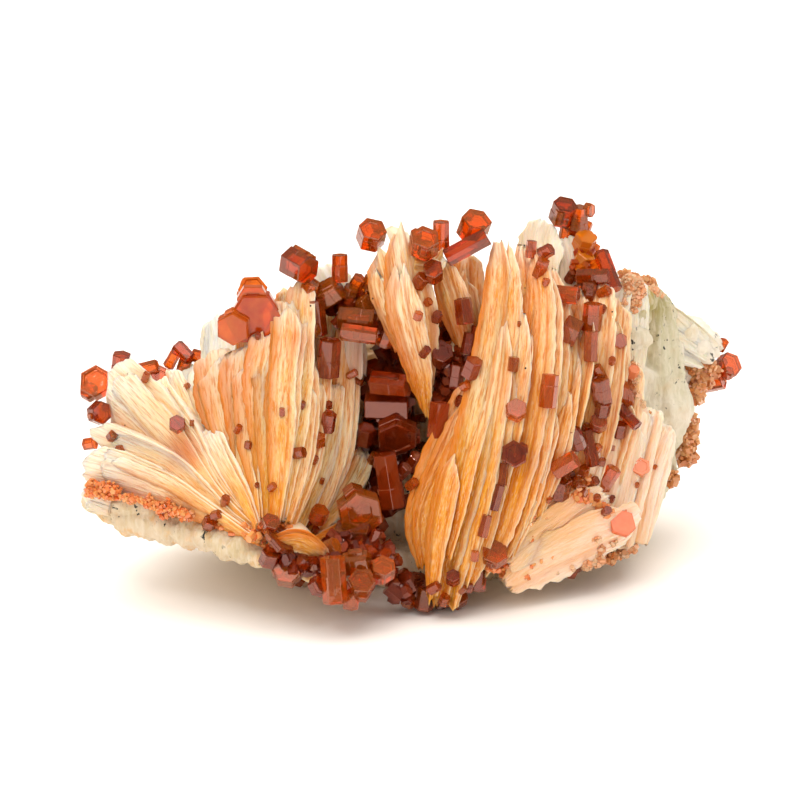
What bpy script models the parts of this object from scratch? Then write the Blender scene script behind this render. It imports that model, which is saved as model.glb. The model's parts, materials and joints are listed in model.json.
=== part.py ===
"""Vanadinite on matrix: red six-sided crystals on fans of cream barite blades, on a pale host rock.

Metres, +Z up. The origin lies on the flat face that the rock rests on, near its middle. +X runs
to the right along the longest side and +Y runs to the back.

The front of the piece is set out on a survey grid: columns count to the right and rows count
down, in steps of GRID_STEP on a plane that leans back through DATUM and faces a sighting station.
A point of the front is a grid column, a grid row and how far it lies behind DATUM.
"""
import math
import random

import bmesh
import bpy
from mathutils import Matrix, Vector, noise
from mathutils.bvhtree import BVHTree

MM = 0.001

# The survey of the front face.
GRID_STEP = 0.12 * MM
DATUM = Vector((0.0, -14.0 * MM, 0.0))
DATUM_COLUMN = 420.0
DATUM_ROW = 592.0
STATION_COLUMN = 400.0
STATION_ROW = 400.0
STATION_DISTANCE = 0.8
STATION_ELEVATION = math.radians(18.0)

RIGHTWARD = Vector((1.0, 0.0, 0.0))
UPWARD = Vector((0.0, math.sin(STATION_ELEVATION), math.cos(STATION_ELEVATION)))
INWARD = Vector((0.0, math.cos(STATION_ELEVATION), -math.sin(STATION_ELEVATION)))

# Clearances shared by the pieces.
GAP = 0.3 * MM
FLOOR_CLEARANCE = 0.15 * MM
FLAT_ANGLE = 0.002

# A blade's section and how it wanders along the blade. Shares are of the blade's breadth or depth.
SHOULDER_DEPTH = 1.3 * MM
SHOULDER_SHARE = 0.4
RIDGE_WANDER = 0.2
SIDE_WANDER = 0.12
DIP_RANGE = (-0.05, 0.12)
ROOT_DEPTH_SHARE = 0.8
TIP_DEPTH_SHARE = 0.6
SLAB_BACK_SHARE = 0.72
SWELL_FACTOR = 1.5

# A crystal's form: the diameter in grid steps from which its end edges are bevelled, the bevel as
# a share of its radius, and how far it stands proud of the blade it sits on.
SMALLEST_BEVELLED = 44.0
BEVEL_SHARE = 0.09
END_FACE_SLOPE = 0.9
PROUD_SHARE = 0.3

# The host rock: lumps as (centre in mm from DATUM, radii in mm, subdivisions, chips, seed).
ROCK_LUMPS = (
    ((4.0, 17.0, 13.0), (25.0, 15.0, 16.5), 2, 9, 3),
    ((-19.0, 13.0, 13.0), (17.0, 11.0, 10.0), 1, 2, 14),
    ((25.0, 23.0, 15.0), (11.0, 10.0, 12.5), 1, 3, 5),
)
ROCK_ROUGHNESS = 0.16
BROAD_LUMPS = 1.7
FINE_LUMPS = 4.1
FINE_SHARE = 0.5
LUMP_OFFSET = Vector((7.3, 1.9, 0.0))
CHIP_LEVELS = (0.72, 0.9)
ROCK_SEED = 300

# Where the barite meets the boulders behind it, in plan: (x, mm behind DATUM), left to right.
# The parting steps back at the hollow between the fans.
PARTING = (
    (-60.0, 11.0), (-27.0, 11.0), (-20.0, 4.5), (-9.5, 4.5), (-7.0, 8.5), (1.0, 8.5), (4.0, 6.0),
    (12.0, 8.0), (33.0, 20.0), (60.0, 20.0),
)
PARTING_REACH = 60.0
BOULDER_TOP = 31.5

# Slabs of the host rock, given like the blades below.
ROCK_SLABS = (
    # the pale wall at the right of the crystals
    (13.0, ((680, 466, 16, 20), (670, 415, 42, 18), (659, 350, 50, 18), (655, 305, 32, 19),
            (648, 283, 12, 20))),
    # the two arms that reach out to the right
    (7.0, ((668, 338, 40, 22), (705, 344, 24, 27), (725, 350, 13, 30))),
    (7.0, ((666, 384, 30, 21), (700, 381, 24, 26), (716, 375, 12, 29))),
    # the rind under the left fan
    (15.0, ((276, 556, 26, -9), (215, 534, 24, -7), (140, 511, 26, -5), (84, 497, 20, -3))),
    # the ledge under the right flank
    (12.0, ((470, 564, 22, 2), (560, 550, 24, 4), (640, 520, 22, 9), (668, 486, 16, 15))),
    # the foot that the piece rests on
    (19.0, ((300, 574, 30, 1), (400, 578, 44, 0), (480, 574, 44, 3), (560, 560, 30, 6))),
)

# Blades of barite: (depth of the sheet in mm, stations along its front edge), where a station is
# (column, row, breadth in grid steps, mm behind DATUM), from the root of the blade to its tip.
LEFT_FAN = (
    (13.0, ((262, 541, 12, -13), (205, 520, 22, -9), (140, 490, 36, -5), (84, 468, 26, -2))),
    (13.0, ((259, 535, 10, -12.4), (205, 498, 18, -8), (150, 460, 28, -4), (93, 437, 24, 0))),
    (13.0, ((255, 529, 12, -12.1), (212, 488, 22, -7), (158, 426, 54, -1), (125, 374, 18, 3))),
    (12.0, ((252, 524, 9, -10), (217, 476, 16, -4), (188, 422, 22, 2), (176, 367, 10, 6))),
    (16.0, ((265, 531, 11, -12), (240, 466, 24, -7), (222, 392, 36, -2), (228, 339, 14, 2))),
    (16.0, ((268, 529, 12, -11.7), (258, 440, 32, -7), (255, 347, 20, 0))),
    (16.0, ((276, 528, 12, -12.1), (279, 435, 28, -7), (276, 324, 18, 0))),
    (16.0, ((280, 531, 11, -11.8), (294, 430, 24, -6), (298, 270, 14, 3))),
    (15.0, ((284, 529, 10, -11.1), (304, 440, 20, -6), (309, 357, 11, -1))),
    (15.0, ((288, 532, 11, -10), (313, 450, 20, -4), (324, 356, 12, 1))),
    (14.0, ((310, 535, 14, -6), (338, 450, 28, 0), (343, 280, 16, 7))),
    (12.0, ((316, 528, 15, -5), (350, 482, 30, 0), (368, 448, 14, 4))),
    (9.0, ((268, 546, 12, -14), (300, 541, 24, -14), (326, 562, 10, -13))),
    (8.0, ((284, 552, 14, -12.5), (316, 574, 26, -13.5), (344, 582, 14, -13))),
    (9.0, ((312, 548, 14, -8), (342, 532, 24, -5.5), (372, 508, 14, -2))),
    (14.0, ((262, 420, 22, -3), (252, 350, 26, 2.5), (250, 293, 16, 5.5))),
    (11.0, ((192, 446, 20, 1), (199, 392, 24, 5), (198, 362, 10, 8))),
    (11.0, ((216, 420, 20, 0), (217, 354, 24, 6), (214, 311, 12, 9))),
    (12.0, ((284, 390, 18, -1), (286, 318, 20, 6), (284, 281, 10, 8))),
)
SPEAR_BLADES = (
    (15.0, ((427, 412, 8, 2), (419, 358, 36, 0), (406, 295, 40, 0), (397, 208, 18, 4))),
    (13.0, ((404, 352, 16, 2.5), (388, 300, 26, 3), (370, 256, 12, 6))),
    (13.0, ((466, 356, 8, 3.5), (454, 300, 30, 4), (441, 252, 14, 6))),
    (12.0, ((410, 262, 30, 3), (432, 262, 20, 4), (444, 246, 12, 5))),
    (12.0, ((392, 330, 20, 7), (345, 300, 26, 10), (326, 262, 14, 11))),
)
RIGHT_FAN = (
    (15.0, ((424, 572, 12, -7), (424, 515, 30, -6), (452, 440, 32, -3), (483, 360, 18, 1))),
    (15.0, ((438, 609, 10, -9), (443, 545, 26, -8), (477, 430, 28, -6), (496, 320, 22, 0),
            (501, 230, 11, 7))),
    (15.0, ((456, 603, 15, -8), (474, 537, 32, -7), (505, 418, 32, -5), (518, 315, 28, 0),
            (516, 233, 16, 8))),
    (15.0, ((479, 574, 11, -7), (503, 515, 26, -7), (529, 405, 26, -5), (539, 310, 22, 0),
            (533, 243, 11, 8))),
    (15.0, ((500, 562, 13, -6), (524, 495, 28, -6), (547, 398, 26, -4), (553, 315, 22, 1),
            (547, 262, 11, 8))),
    (14.0, ((524, 530, 16, -4.4), (545, 468, 26, -4), (564, 380, 24, -2), (565, 292, 14, 5))),
    (14.0, ((552, 500, 18, -2.3), (568, 425, 24, -1.6), (583, 335, 22, 2), (580, 272, 12, 7))),
    (13.0, ((568, 502, 20, -1), (586, 420, 24, 0.4), (601, 330, 22, 3), (598, 276, 12, 8))),
    (12.0, ((586, 500, 24, 0.3), (606, 415, 26, 2.4), (618, 330, 24, 6), (617, 288, 10, 9))),
    (12.0, ((512, 591, 13, -7), (526, 552, 38, -5.7), (570, 482, 32, -2.2))),
    (12.0, ((545, 579, 20, -4), (562, 535, 40, -2.6), (600, 470, 30, 0.2))),
    (12.0, ((578, 565, 20, -1), (602, 505, 42, 0.8), (630, 396, 20, 6))),
    (12.0, ((612, 555, 22, 2), (630, 490, 42, 4), (646, 412, 20, 9))),
    (11.0, ((641, 545, 16, 5), (649, 485, 28, 7), (666, 424, 16, 12))),
    (13.0, ((548, 300, 24, 5), (541, 240, 26, 11), (544, 210, 10, 13))),
    (13.0, ((574, 315, 22, 5), (568, 258, 22, 11), (567, 227, 13, 13))),
    (12.0, ((602, 350, 24, 6), (614, 298, 26, 11), (622, 268, 15, 13))),
)

# The fans: (blades, first seed). Where two fans meet, the earlier one keeps its form.
FANS = {
    "barite_left_fan": (LEFT_FAN, 100),
    "barite_spear_blades": (SPEAR_BLADES, 150),
    "barite_right_fan": (RIGHT_FAN, 200),
}

# Vanadinite: (column, row, diameter, length, lean, facing, spin, back). The first four are grid
# steps. Lean turns the crystal's axis clockwise from upright, and facing turns it towards the
# station, in degrees. Back is mm behind DATUM, or None for a small crystal that sits on a blade
# of barite and is fused to it.
CRYSTALS = {
    "left_tip": (
        (97, 383, 35, 14, -30, 68, 5, 6.0),
        (121, 364, 21, 22, 5, 25, 20, 6.0),
        (95, 414, 25, 13, 90, 58, 0, 2.5),
        (146, 369, 15, 25, 76, 15, 0, 7.0),
        (161, 378, 24, 12, 20, 75, 0, 7.0),
        (177, 424, 18, 11, 0, 72, 0, None),
    ),
    "left_crest": (
        (183, 352, 15, 20, 135, 15, 10, 8.0),
        (202, 358, 15, 21, 105, 20, 0, 8.5),
        (184, 368, 16, 19, 15, 30, 0, 8.0),
        (214, 341, 24, 11, -45, 50, 0, 8.5),
    ),
    "left_plate": (
        (255, 317, 56, 17, 180, 70, 30, 1.0),
        (234, 327, 36, 15, 205, 66, 0, 0.0),
        (252, 291, 31, 12, 15, 60, 30, 5.0),
    ),
    "upper_cluster": (
        (299, 266, 34, 28, 120, 38, 0, 3.0),
        (340, 268, 19, 27, 0, 10, 0, 5.0),
        (328, 293, 30, 26, 60, 18, 15, 4.0),
        (308, 291, 20, 23, 20, 30, 0, 3.0),
        (317, 317, 19, 37, -6, 16, 10, 2.0),
        (349, 295, 17, 20, 20, 30, 0, 5.0),
        (357, 282, 15, 13, 30, 40, 0, 6.0),
        (370, 282, 14, 13, 10, 25, 0, 6.0),
        (366, 305, 21, 13, 80, 55, 0, 4.0),
        (376, 309, 16, 22, 10, 20, 0, 4.0),
        (357, 318, 25, 36, 95, 10, 20, 3.0),
        (359, 334, 19, 36, 98, 8, 0, 1.0),
        (386, 338, 16, 18, 20, 20, 0, 4.0),
        (329, 358, 24, 38, 4, 16, 15, 0.0),
    ),
    "top_left": (
        (371, 235, 29, 23, 15, 55, 10, 6.0),
    ),
    "top_centre": (
        (424, 243, 31, 22, 10, 55, 0, 2.0),
        (441, 236, 19, 30, 0, 15, 0, 6.0),
        (433, 272, 22, 16, 0, 60, 10, 1.0),
        (420, 281, 15, 14, 40, 30, 0, 1.0),
    ),
    "top_right": (
        (474, 227, 32, 23, 20, 40, 0, 6.8),
        (467, 247, 21, 46, 62, 5, 15, 5.0),
        (464, 311, 20, 25, -8, 8, 10, None),
    ),
    "hollow_side": (
        (479, 341, 19, 31, 4, 8, 0, 2.0),
        (469, 343, 14, 21, 10, 10, 15, None),
        (472, 368, 19, 19, 20, 30, 0, None),
        (456, 376, 16, 26, 8, 20, 0, 2.0),
        (437, 403, 16, 20, 10, 40, 0, 2.0),
        (439, 420, 23, 36, 5, 8, 12, -1.0),
        (431, 333, 18, 16, 20, 65, 0, 3.0),
        (441, 355, 25, 18, 20, 62, 0, 2.0),
    ),
    "hollow_crust": (
        (391, 384, 27, 38, 96, 22, 15, 4.0),
        (394, 404, 32, 44, 92, 8, 0, 6.0),
        (397, 433, 48, 17, 178, 48, 0, 5.0),
        (365, 435, 19, 21, 10, 40, 0, 4.0),
        (391, 481, 29, 55, -9, 10, 12, 0.0),
        (403, 471, 14, 14, 45, 30, 0, -1.0),
    ),
    "hollow_foot": (
        (359, 511, 49, 20, 160, 66, 10, -6.0),
        (355, 536, 34, 34, 92, 16, 0, -6.0),
        (332, 548, 19, 13, 60, 30, 0, -12.0),
    ),
    "lower_left": (
        (280, 541, 44, 12, 48, 36, 0, -15.0),
        (270, 557, 21, 17, 20, 40, 0, -14.5),
        (287, 573, 28, 16, 0, 68, 20, -14.5),
        (319, 586, 22, 12, 60, 38, 0, -16.0),
        (334, 580, 25, 46, -4, 8, 12, -16.5),
        (351, 600, 17, 17, 5, 20, 0, -15.8),
        (361, 584, 30, 17, 15, 62, 20, -15.5),
        (357, 564, 28, 26, 82, 16, 0, -13.0),
        (383, 570, 26, 17, 10, 55, 0, -13.0),
    ),
    "front_foot": (
        (416, 588, 23, 26, 0, 26, 10, -5.0),
        (425, 599, 19, 22, 10, 18, 0, -8.0),
        (457, 604, 22, 15, 15, 62, 0, -6.5),
    ),
    "fan_foot": (
        (479, 580, 15, 22, 6, 10, 0, -7.0),
        (495, 554, 29, 11, 5, 58, 0, None),
        (571, 570, 15, 13, 30, 30, 0, 0.0),
    ),
    "fan_face": (
        (514, 454, 28, 13, 0, 84, 0, None),
        (496, 497, 14, 26, 16, 8, 0, None),
        (516, 410, 23, 13, 10, 66, 0, None),
        (549, 391, 18, 33, 6, 6, 0, None),
    ),
    "summit": (
        (563, 212, 27, 23, 15, 40, 0, 13.0),
        (579, 218, 19, 24, 5, 20, 0, 13.0),
        (584, 243, 22, 20, 20, 40, 0, 12.0),
        (582, 260, 19, 18, 30, 30, 0, 11.0),
        (608, 271, 16, 44, 160, 22, 0, 8.0),
        (593, 277, 17, 32, 88, 15, 0, 7.0),
        (589, 294, 15, 24, 4, 10, 0, 6.0),
        (562, 294, 20, 34, 96, 14, 12, 3.0),
        (541, 268, 17, 20, 20, 30, 0, 6.0),
    ),
    "right_crevice": (
        (592, 317, 20, 28, 4, 12, 10, None),
        (571, 331, 31, 17, 115, 2, 0, None),
        (591, 346, 16, 30, 2, 8, 12, None),
        (601, 391, 21, 28, -8, 24, 0, None),
        (622, 393, 31, 20, 195, 58, 0, 5.0),
        (629, 417, 13, 27, 138, 22, 0, None),
        (590, 448, 14, 37, -12, 8, 0, None),
        (565, 465, 21, 26, 58, 16, 15, None),
        (561, 487, 21, 24, 10, 40, 0, None),
        (608, 478, 17, 25, 32, 20, 0, None),
    ),
    "right_flank": (
        (641, 467, 20, 7, 10, 74, 0, None),
        (623, 524, 28, 8, 20, 72, 10, None),
    ),
    "right_arm": (
        (728, 366, 27, 16, 60, 52, 0, 31.0),
        (713, 382, 20, 24, 80, 25, 0, 30.0),
        (700, 372, 16, 18, 30, 30, 0, 28.0),
    ),
}

# The dark lining of the hollow, which its crystals grow from: (depth in mm, stations as above).
HOLLOW_REGION = "hollow_crust"
HOLLOW_LINING = (
    3.0, ((402, 345, 40, 6), (392, 390, 64, 5.5), (386, 445, 68, 4.5), (384, 492, 40, 1),
          (366, 532, 34, -4)),
)

# Crusts of small crystals along the rims: (name, crystal size in grid steps, spacing, route as
# (column, row, mm behind DATUM), seed).
CRUSTS = (
    ("left_rim", 22, 19.0, ((92, 486, -4.0), (130, 499, -6.0), (168, 510, -7.5), (205, 521, -9.5)), 21),
    ("rock_rim", 22, 21.0, ((698, 396, 24), (690, 422, 22), (687, 458, 21), (656, 495, 16)), 22),
    ("rock_crown", 20, 17.0, ((628, 278, 16), (648, 285, 17), (664, 299, 19)), 23),
    ("flank_rim", 18, 14.0, ((594, 560, 0.5), (626, 552, 3.0)), 24),
)
CRUST_DIAMETERS = (0.85, 1.25)
CRUST_LENGTHS = (0.7, 1.1)
CRUST_LEANS = (-90.0, 90.0)
CRUST_FACINGS = (0.0, 70.0)
CRUST_STRAY = 2.0


def sight(column, row):
    """Direction from the station through a point of the survey grid."""
    on_plane = (
        DATUM
        + RIGHTWARD * (column - DATUM_COLUMN) * GRID_STEP
        + UPWARD * (DATUM_ROW - row) * GRID_STEP
    )
    return (on_plane - station()).normalized()


def station():
    """The sighting station in front of the piece and above it."""
    return (
        DATUM
        + RIGHTWARD * (STATION_COLUMN - DATUM_COLUMN) * GRID_STEP
        + UPWARD * (DATUM_ROW - STATION_ROW) * GRID_STEP
        - INWARD * STATION_DISTANCE
    )


def front_point(column, row, back):
    """Point on the sight line of a grid point, back mm behind DATUM."""
    eye = station()
    direction = sight(column, row)
    reach = (DATUM.y + back * MM - eye.y) / direction.y
    return eye + direction * reach


def clear_scene():
    """Remove every object that the scene holds."""
    for obj in list(bpy.data.objects):
        bpy.data.objects.remove(obj, do_unlink=True)


def new_collection(name):
    """Make a collection in the scene."""
    collection = bpy.data.collections.new(name)
    bpy.context.scene.collection.children.link(collection)
    return collection


def new_material(name, colour, roughness):
    """Make a Principled material."""
    material = bpy.data.materials.new(name)
    material.use_nodes = True
    shader = material.node_tree.nodes["Principled BSDF"]
    shader.inputs["Base Color"].default_value = (*colour, 1.0)
    shader.inputs["Roughness"].default_value = roughness
    shader.inputs["Metallic"].default_value = 0.0
    return material


def object_from(form, name, collection):
    """Turn a bmesh into an object in a collection."""
    bmesh.ops.triangulate(form, faces=form.faces[:])
    bmesh.ops.recalc_face_normals(form, faces=form.faces[:])
    mesh = bpy.data.meshes.new(name)
    form.to_mesh(mesh)
    form.free()
    obj = bpy.data.objects.new(name, mesh)
    collection.objects.link(obj)
    return obj


def make_cutter(obj):
    """Keep an object out of the model: it only shapes others."""
    obj.hide_render = True
    obj.display_type = "WIRE"
    return obj


def blade_section(centre, across, inward, breadth, depth, lean, swell, back_share):
    """Corners of a blade's section: a front ridge, two shoulders and a thin or blunt back."""
    grown = SWELL_FACTOR * swell
    half = breadth / 2.0 + grown
    back_half = back_share * breadth / 2.0 + grown
    shoulder = min(SHOULDER_DEPTH, SHOULDER_SHARE * breadth)
    corners = [(-half, shoulder), (lean * breadth, -grown), (half, shoulder)]
    if back_half > 0.0:
        corners += [(back_half, depth + grown), (-back_half, depth + grown)]
    else:
        corners.append((lean * breadth, depth))
    return [centre + across * side + inward * into for side, into in corners]


def blade(name, depth, stations, seed, collection, swell=0.0, back_share=0.0):
    """Loft one blade along its front edge, with its sheet running to the back."""
    draw = random.Random(seed)
    path = [front_point(column, row, back) for column, row, _, back in stations]
    form = bmesh.new()
    rings = []
    last = len(path) - 1
    for index, centre in enumerate(path):
        before = path[max(index - 1, 0)]
        after = path[min(index + 1, last)]
        along = (after - before).normalized()
        aside = draw.uniform(-SIDE_WANDER, SIDE_WANDER)
        inward = Vector((aside, 1.0, draw.uniform(*DIP_RANGE))).normalized()
        across = along.cross(inward).normalized()
        inward = across.cross(along).normalized()
        lean = draw.uniform(-RIDGE_WANDER, RIDGE_WANDER)
        reach = depth * MM
        if index == 0:
            centre = centre - along * swell
            reach *= ROOT_DEPTH_SHARE
        elif index == last:
            centre = centre + along * swell
            reach *= TIP_DEPTH_SHARE
        breadth = stations[index][2] * GRID_STEP
        corners = blade_section(centre, across, inward, breadth, reach, lean, swell, back_share)
        rings.append([form.verts.new(corner) for corner in corners])
    sides = len(rings[0])
    for lower, upper in zip(rings, rings[1:]):
        for corner in range(sides):
            following = (corner + 1) % sides
            form.faces.new((lower[corner], lower[following], upper[following], upper[corner]))
    form.faces.new(rings[0][::-1])
    form.faces.new(rings[-1])
    return object_from(form, name, collection)


def blades(name, specification, seed, collection, swell=0.0, back_share=0.0):
    """Loft every blade of a fan, or every slab of the rock."""
    return [
        blade(f"{name}.{index}", depth, stations, seed + index, collection, swell, back_share)
        for index, (depth, stations) in enumerate(specification)
    ]


def chipped_lump(centre, radii, subdivisions, chips, seed, collection):
    """Rough boulder: a ball made uneven, with flat faces chipped off it."""
    draw = random.Random(seed)
    form = bmesh.new()
    bmesh.ops.create_icosphere(form, subdivisions=subdivisions, radius=1.0)
    offset = LUMP_OFFSET * seed
    for vertex in form.verts:
        broad = noise.noise(vertex.co * BROAD_LUMPS + offset)
        fine = noise.noise(vertex.co * FINE_LUMPS + offset)
        vertex.co *= 1.0 + ROCK_ROUGHNESS * (broad + FINE_SHARE * fine)
    for _ in range(chips):
        facing = Vector([draw.uniform(-1.0, 1.0) for _ in range(3)]).normalized()
        level = draw.uniform(*CHIP_LEVELS)
        for vertex in form.verts:
            above = vertex.co.dot(facing) - level
            if above > 0.0:
                vertex.co -= facing * above
    middle = DATUM + Vector(centre) * MM
    for vertex in form.verts:
        vertex.co = middle + Vector([vertex.co[axis] * radii[axis] * MM for axis in range(3)])
    return object_from(form, f"lump.{seed}", collection)


def crystal_axis(lean, facing):
    """Direction of a crystal's axis from its lean and how far it faces the station."""
    lean = math.radians(lean)
    facing = math.radians(facing)
    flat = RIGHTWARD * math.sin(lean) + UPWARD * math.cos(lean)
    return flat * math.cos(facing) - INWARD * math.sin(facing)


def prism(name, middle, diameter, length, axis, spin, collection, swell=0.0):
    """One six-sided crystal, its end edges bevelled where it is large enough."""
    radius = diameter * GRID_STEP / 2.0
    form = bmesh.new()
    bmesh.ops.create_cone(
        form,
        cap_ends=True,
        segments=6,
        radius1=radius + swell / math.cos(math.pi / 6.0),
        radius2=radius + swell / math.cos(math.pi / 6.0),
        depth=length * GRID_STEP + 2.0 * swell,
    )
    if diameter >= SMALLEST_BEVELLED and swell == 0.0:
        ends = [face for face in form.faces if abs(face.normal.z) > END_FACE_SLOPE]
        rims = {edge for face in ends for edge in face.edges}
        bmesh.ops.bevel(
            form,
            geom=list(rims),
            offset=radius * BEVEL_SHARE,
            segments=1,
            affect="EDGES",
        )
    turn = axis.to_track_quat("Z", "Y").to_matrix().to_4x4()
    spun = Matrix.Rotation(math.radians(spin), 4, "Z")
    bmesh.ops.transform(form, matrix=Matrix.Translation(middle) @ turn @ spun, verts=form.verts[:])
    return object_from(form, name, collection)


def carrier(column, row, surfaces):
    """Name of the foremost surface on a sight line."""
    def distance(name):
        reach = surfaces[name].ray_cast(station(), sight(column, row))[3]
        return math.inf if reach is None else reach

    return min(surfaces, key=distance)


def seat(column, row, diameter, length, surface):
    """Middle of a crystal that stands a little proud of the surface it grows on."""
    direction = sight(column, row)
    foot = surface.ray_cast(station(), direction)[0]
    return foot - direction * PROUD_SHARE * (diameter + length) / 2.0 * GRID_STEP


def surface_of(objects):
    """Search tree over the faces of some objects."""
    points = []
    faces = []
    for obj in objects:
        start = len(points)
        points.extend(vertex.co.copy() for vertex in obj.data.vertices)
        faces.extend([start + index for index in face.vertices] for face in obj.data.polygons)
    return BVHTree.FromPolygons(points, faces)


def evaluate_into(obj, others):
    """Apply an object's modifiers and remove the objects that they used."""
    depsgraph = bpy.context.evaluated_depsgraph_get()
    mesh = bpy.data.meshes.new_from_object(obj.evaluated_get(depsgraph))
    obj.modifiers.clear()
    obj.data = mesh
    for other in others:
        bpy.data.objects.remove(other, do_unlink=True)
    return obj


def combine(obj, others, operation, keep_others=False):
    """Join objects to one, or cut them out of it."""
    for other in others:
        modifier = obj.modifiers.new(operation.title(), "BOOLEAN")
        modifier.operation = operation
        modifier.solver = "EXACT"
        modifier.object = other
    return evaluate_into(obj, () if keep_others else others)


def loose_bodies(form):
    """Sets of faces that hang together."""
    left = set(form.faces)
    bodies = []
    while left:
        stack = [left.pop()]
        body = []
        while stack:
            face = stack.pop()
            body.append(face)
            for edge in face.edges:
                for neighbour in edge.link_faces:
                    if neighbour in left:
                        left.discard(neighbour)
                        stack.append(neighbour)
        bodies.append(body)
    return bodies


def body_volume(body):
    """Volume that a closed set of faces holds."""
    total = 0.0
    for face in body:
        first, *rest = [loop.vert.co for loop in face.loops]
        for one, two in zip(rest, rest[1:]):
            total += first.dot(one.cross(two)) / 6.0
    return total


def keep_largest(obj):
    """Drop the small chips that a cut leaves beside the main body."""
    form = bmesh.new()
    form.from_mesh(obj.data)
    bodies = loose_bodies(form)
    largest = max(bodies, key=body_volume)
    spare = [face for body in bodies if body is not largest for face in body]
    bmesh.ops.delete(form, geom=spare, context="FACES")
    form.to_mesh(obj.data)
    form.free()
    return obj


def join_flat_faces(obj):
    """Join the faces that lie in one plane, then split the mesh into clean triangles."""
    form = bmesh.new()
    form.from_mesh(obj.data)
    bmesh.ops.dissolve_limit(form, angle_limit=FLAT_ANGLE, verts=form.verts[:], edges=form.edges[:])
    bmesh.ops.triangulate(form, faces=form.faces[:])
    form.to_mesh(obj.data)
    form.free()


def overlapping(obj, others):
    """The objects whose boxes meet this object's box."""
    def corners(item):
        points = [vertex.co for vertex in item.data.vertices]
        low = [min(point[axis] for point in points) for axis in range(3)]
        high = [max(point[axis] for point in points) for axis in range(3)]
        return low, high

    low, high = corners(obj)
    found = []
    for other in others:
        other_low, other_high = corners(other)
        if all(low[axis] < other_high[axis] and other_low[axis] < high[axis] for axis in range(3)):
            found.append(other)
    return found


def clusters(crystals):
    """Group the crystals that grow through each other."""
    trees = [surface_of([crystal["object"]]) for crystal in crystals]
    groups = []
    left = set(range(len(crystals)))
    while left:
        stack = [min(left)]
        left.discard(stack[0])
        group = []
        while stack:
            index = stack.pop()
            group.append(index)
            for other in sorted(left):
                if trees[index].overlap(trees[other]):
                    left.discard(other)
                    stack.append(other)
        groups.append([crystals[index] for index in sorted(group)])
    return groups


def crust_crystals():
    """Small crystals strung along the rims, each growing into the next."""
    specifications = []
    for name, size, spacing, route, seed in CRUSTS:
        draw = random.Random(seed)
        for start, end in zip(route, route[1:]):
            distance = math.hypot(end[0] - start[0], end[1] - start[1])
            steps = max(1, round(distance / spacing))
            for step in range(steps):
                share = step / steps
                column, row, back = [a + (b - a) * share for a, b in zip(start, end)]
                diameter = size * draw.uniform(*CRUST_DIAMETERS)
                length = size * draw.uniform(*CRUST_LENGTHS)
                row += draw.uniform(-CRUST_STRAY, CRUST_STRAY)
                lean = draw.uniform(*CRUST_LEANS)
                facing = draw.uniform(*CRUST_FACINGS)
                values = (column, row, diameter, length, lean, facing, 0.0, back)
                specifications.append((name, values))
    return specifications


def lifted(obj, level):
    """Raise an object that reaches below a level."""
    lowest = min(vertex.co.z for vertex in obj.data.vertices)
    lift = max(0.0, level - lowest)
    for vertex in obj.data.vertices:
        vertex.co.z += lift
    return obj


def placed_crystals(collection, swell=0.0):
    """The crystals that are placed at a depth of their own, and the lining of the hollow."""
    specifications = [
        (region, values) for region, group in CRYSTALS.items() for values in group
        if values[-1] is not None
    ]
    specifications += crust_crystals()
    grown = []
    for number, (region, values) in enumerate(specifications):
        column, row, diameter, length, lean, facing, spin, back = values
        middle = front_point(column, row, back)
        axis = crystal_axis(lean, facing)
        obj = prism(f"{region}.{number}", middle, diameter, length, axis, spin, collection, swell)
        lifted(obj, FLOOR_CLEARANCE - swell)
        grown.append({"region": region, "object": obj, "size": diameter * diameter * length})
    depth, stations = HOLLOW_LINING
    lining = blade("lining", depth, stations, 0, collection, swell, SLAB_BACK_SHARE)
    grown.append({"region": HOLLOW_REGION, "object": lining, "size": math.inf})
    return grown


def seated_crystals(fan, surfaces, collection, swell=0.0):
    """The crystals that sit on one fan and are fused to it."""
    grown = []
    for region, group in CRYSTALS.items():
        for number, values in enumerate(group):
            column, row, diameter, length, lean, facing, spin, back = values
            if back is not None or carrier(column, row, surfaces) != fan:
                continue
            middle = seat(column, row, diameter, length, surfaces[fan])
            axis = crystal_axis(lean, facing)
            label = f"{region}.seated.{number}"
            obj = prism(label, middle, diameter, length, axis, spin, collection, swell)
            grown.append(lifted(obj, FLOOR_CLEARANCE - swell))
    return grown


def parting_block(name, forward, far, top, collection):
    """Block in plan between the parting line, moved back by forward, and a far line."""
    outline = [(x, depth + forward) for x, depth in PARTING]
    outline += [(PARTING[-1][0], far), (PARTING[0][0], far)]
    form = bmesh.new()
    lower = [
        form.verts.new((x * MM, DATUM.y + depth * MM, -PARTING_REACH * MM)) for x, depth in outline
    ]
    base = form.faces.new(lower)
    raised = bmesh.ops.extrude_face_region(form, geom=[base])["geom"]
    upper = [item for item in raised if isinstance(item, bmesh.types.BMVert)]
    bmesh.ops.translate(form, verts=upper, vec=(0.0, 0.0, (top + PARTING_REACH) * MM))
    return make_cutter(object_from(form, name, collection))


def floor_block(name, top, collection):
    """Block that fills the space below a level."""
    form = bmesh.new()
    bmesh.ops.create_cube(form, size=1.0)
    bmesh.ops.translate(form, verts=form.verts[:], vec=(0.0, 0.0, top - 0.5))
    return make_cutter(object_from(form, name, collection))


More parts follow.
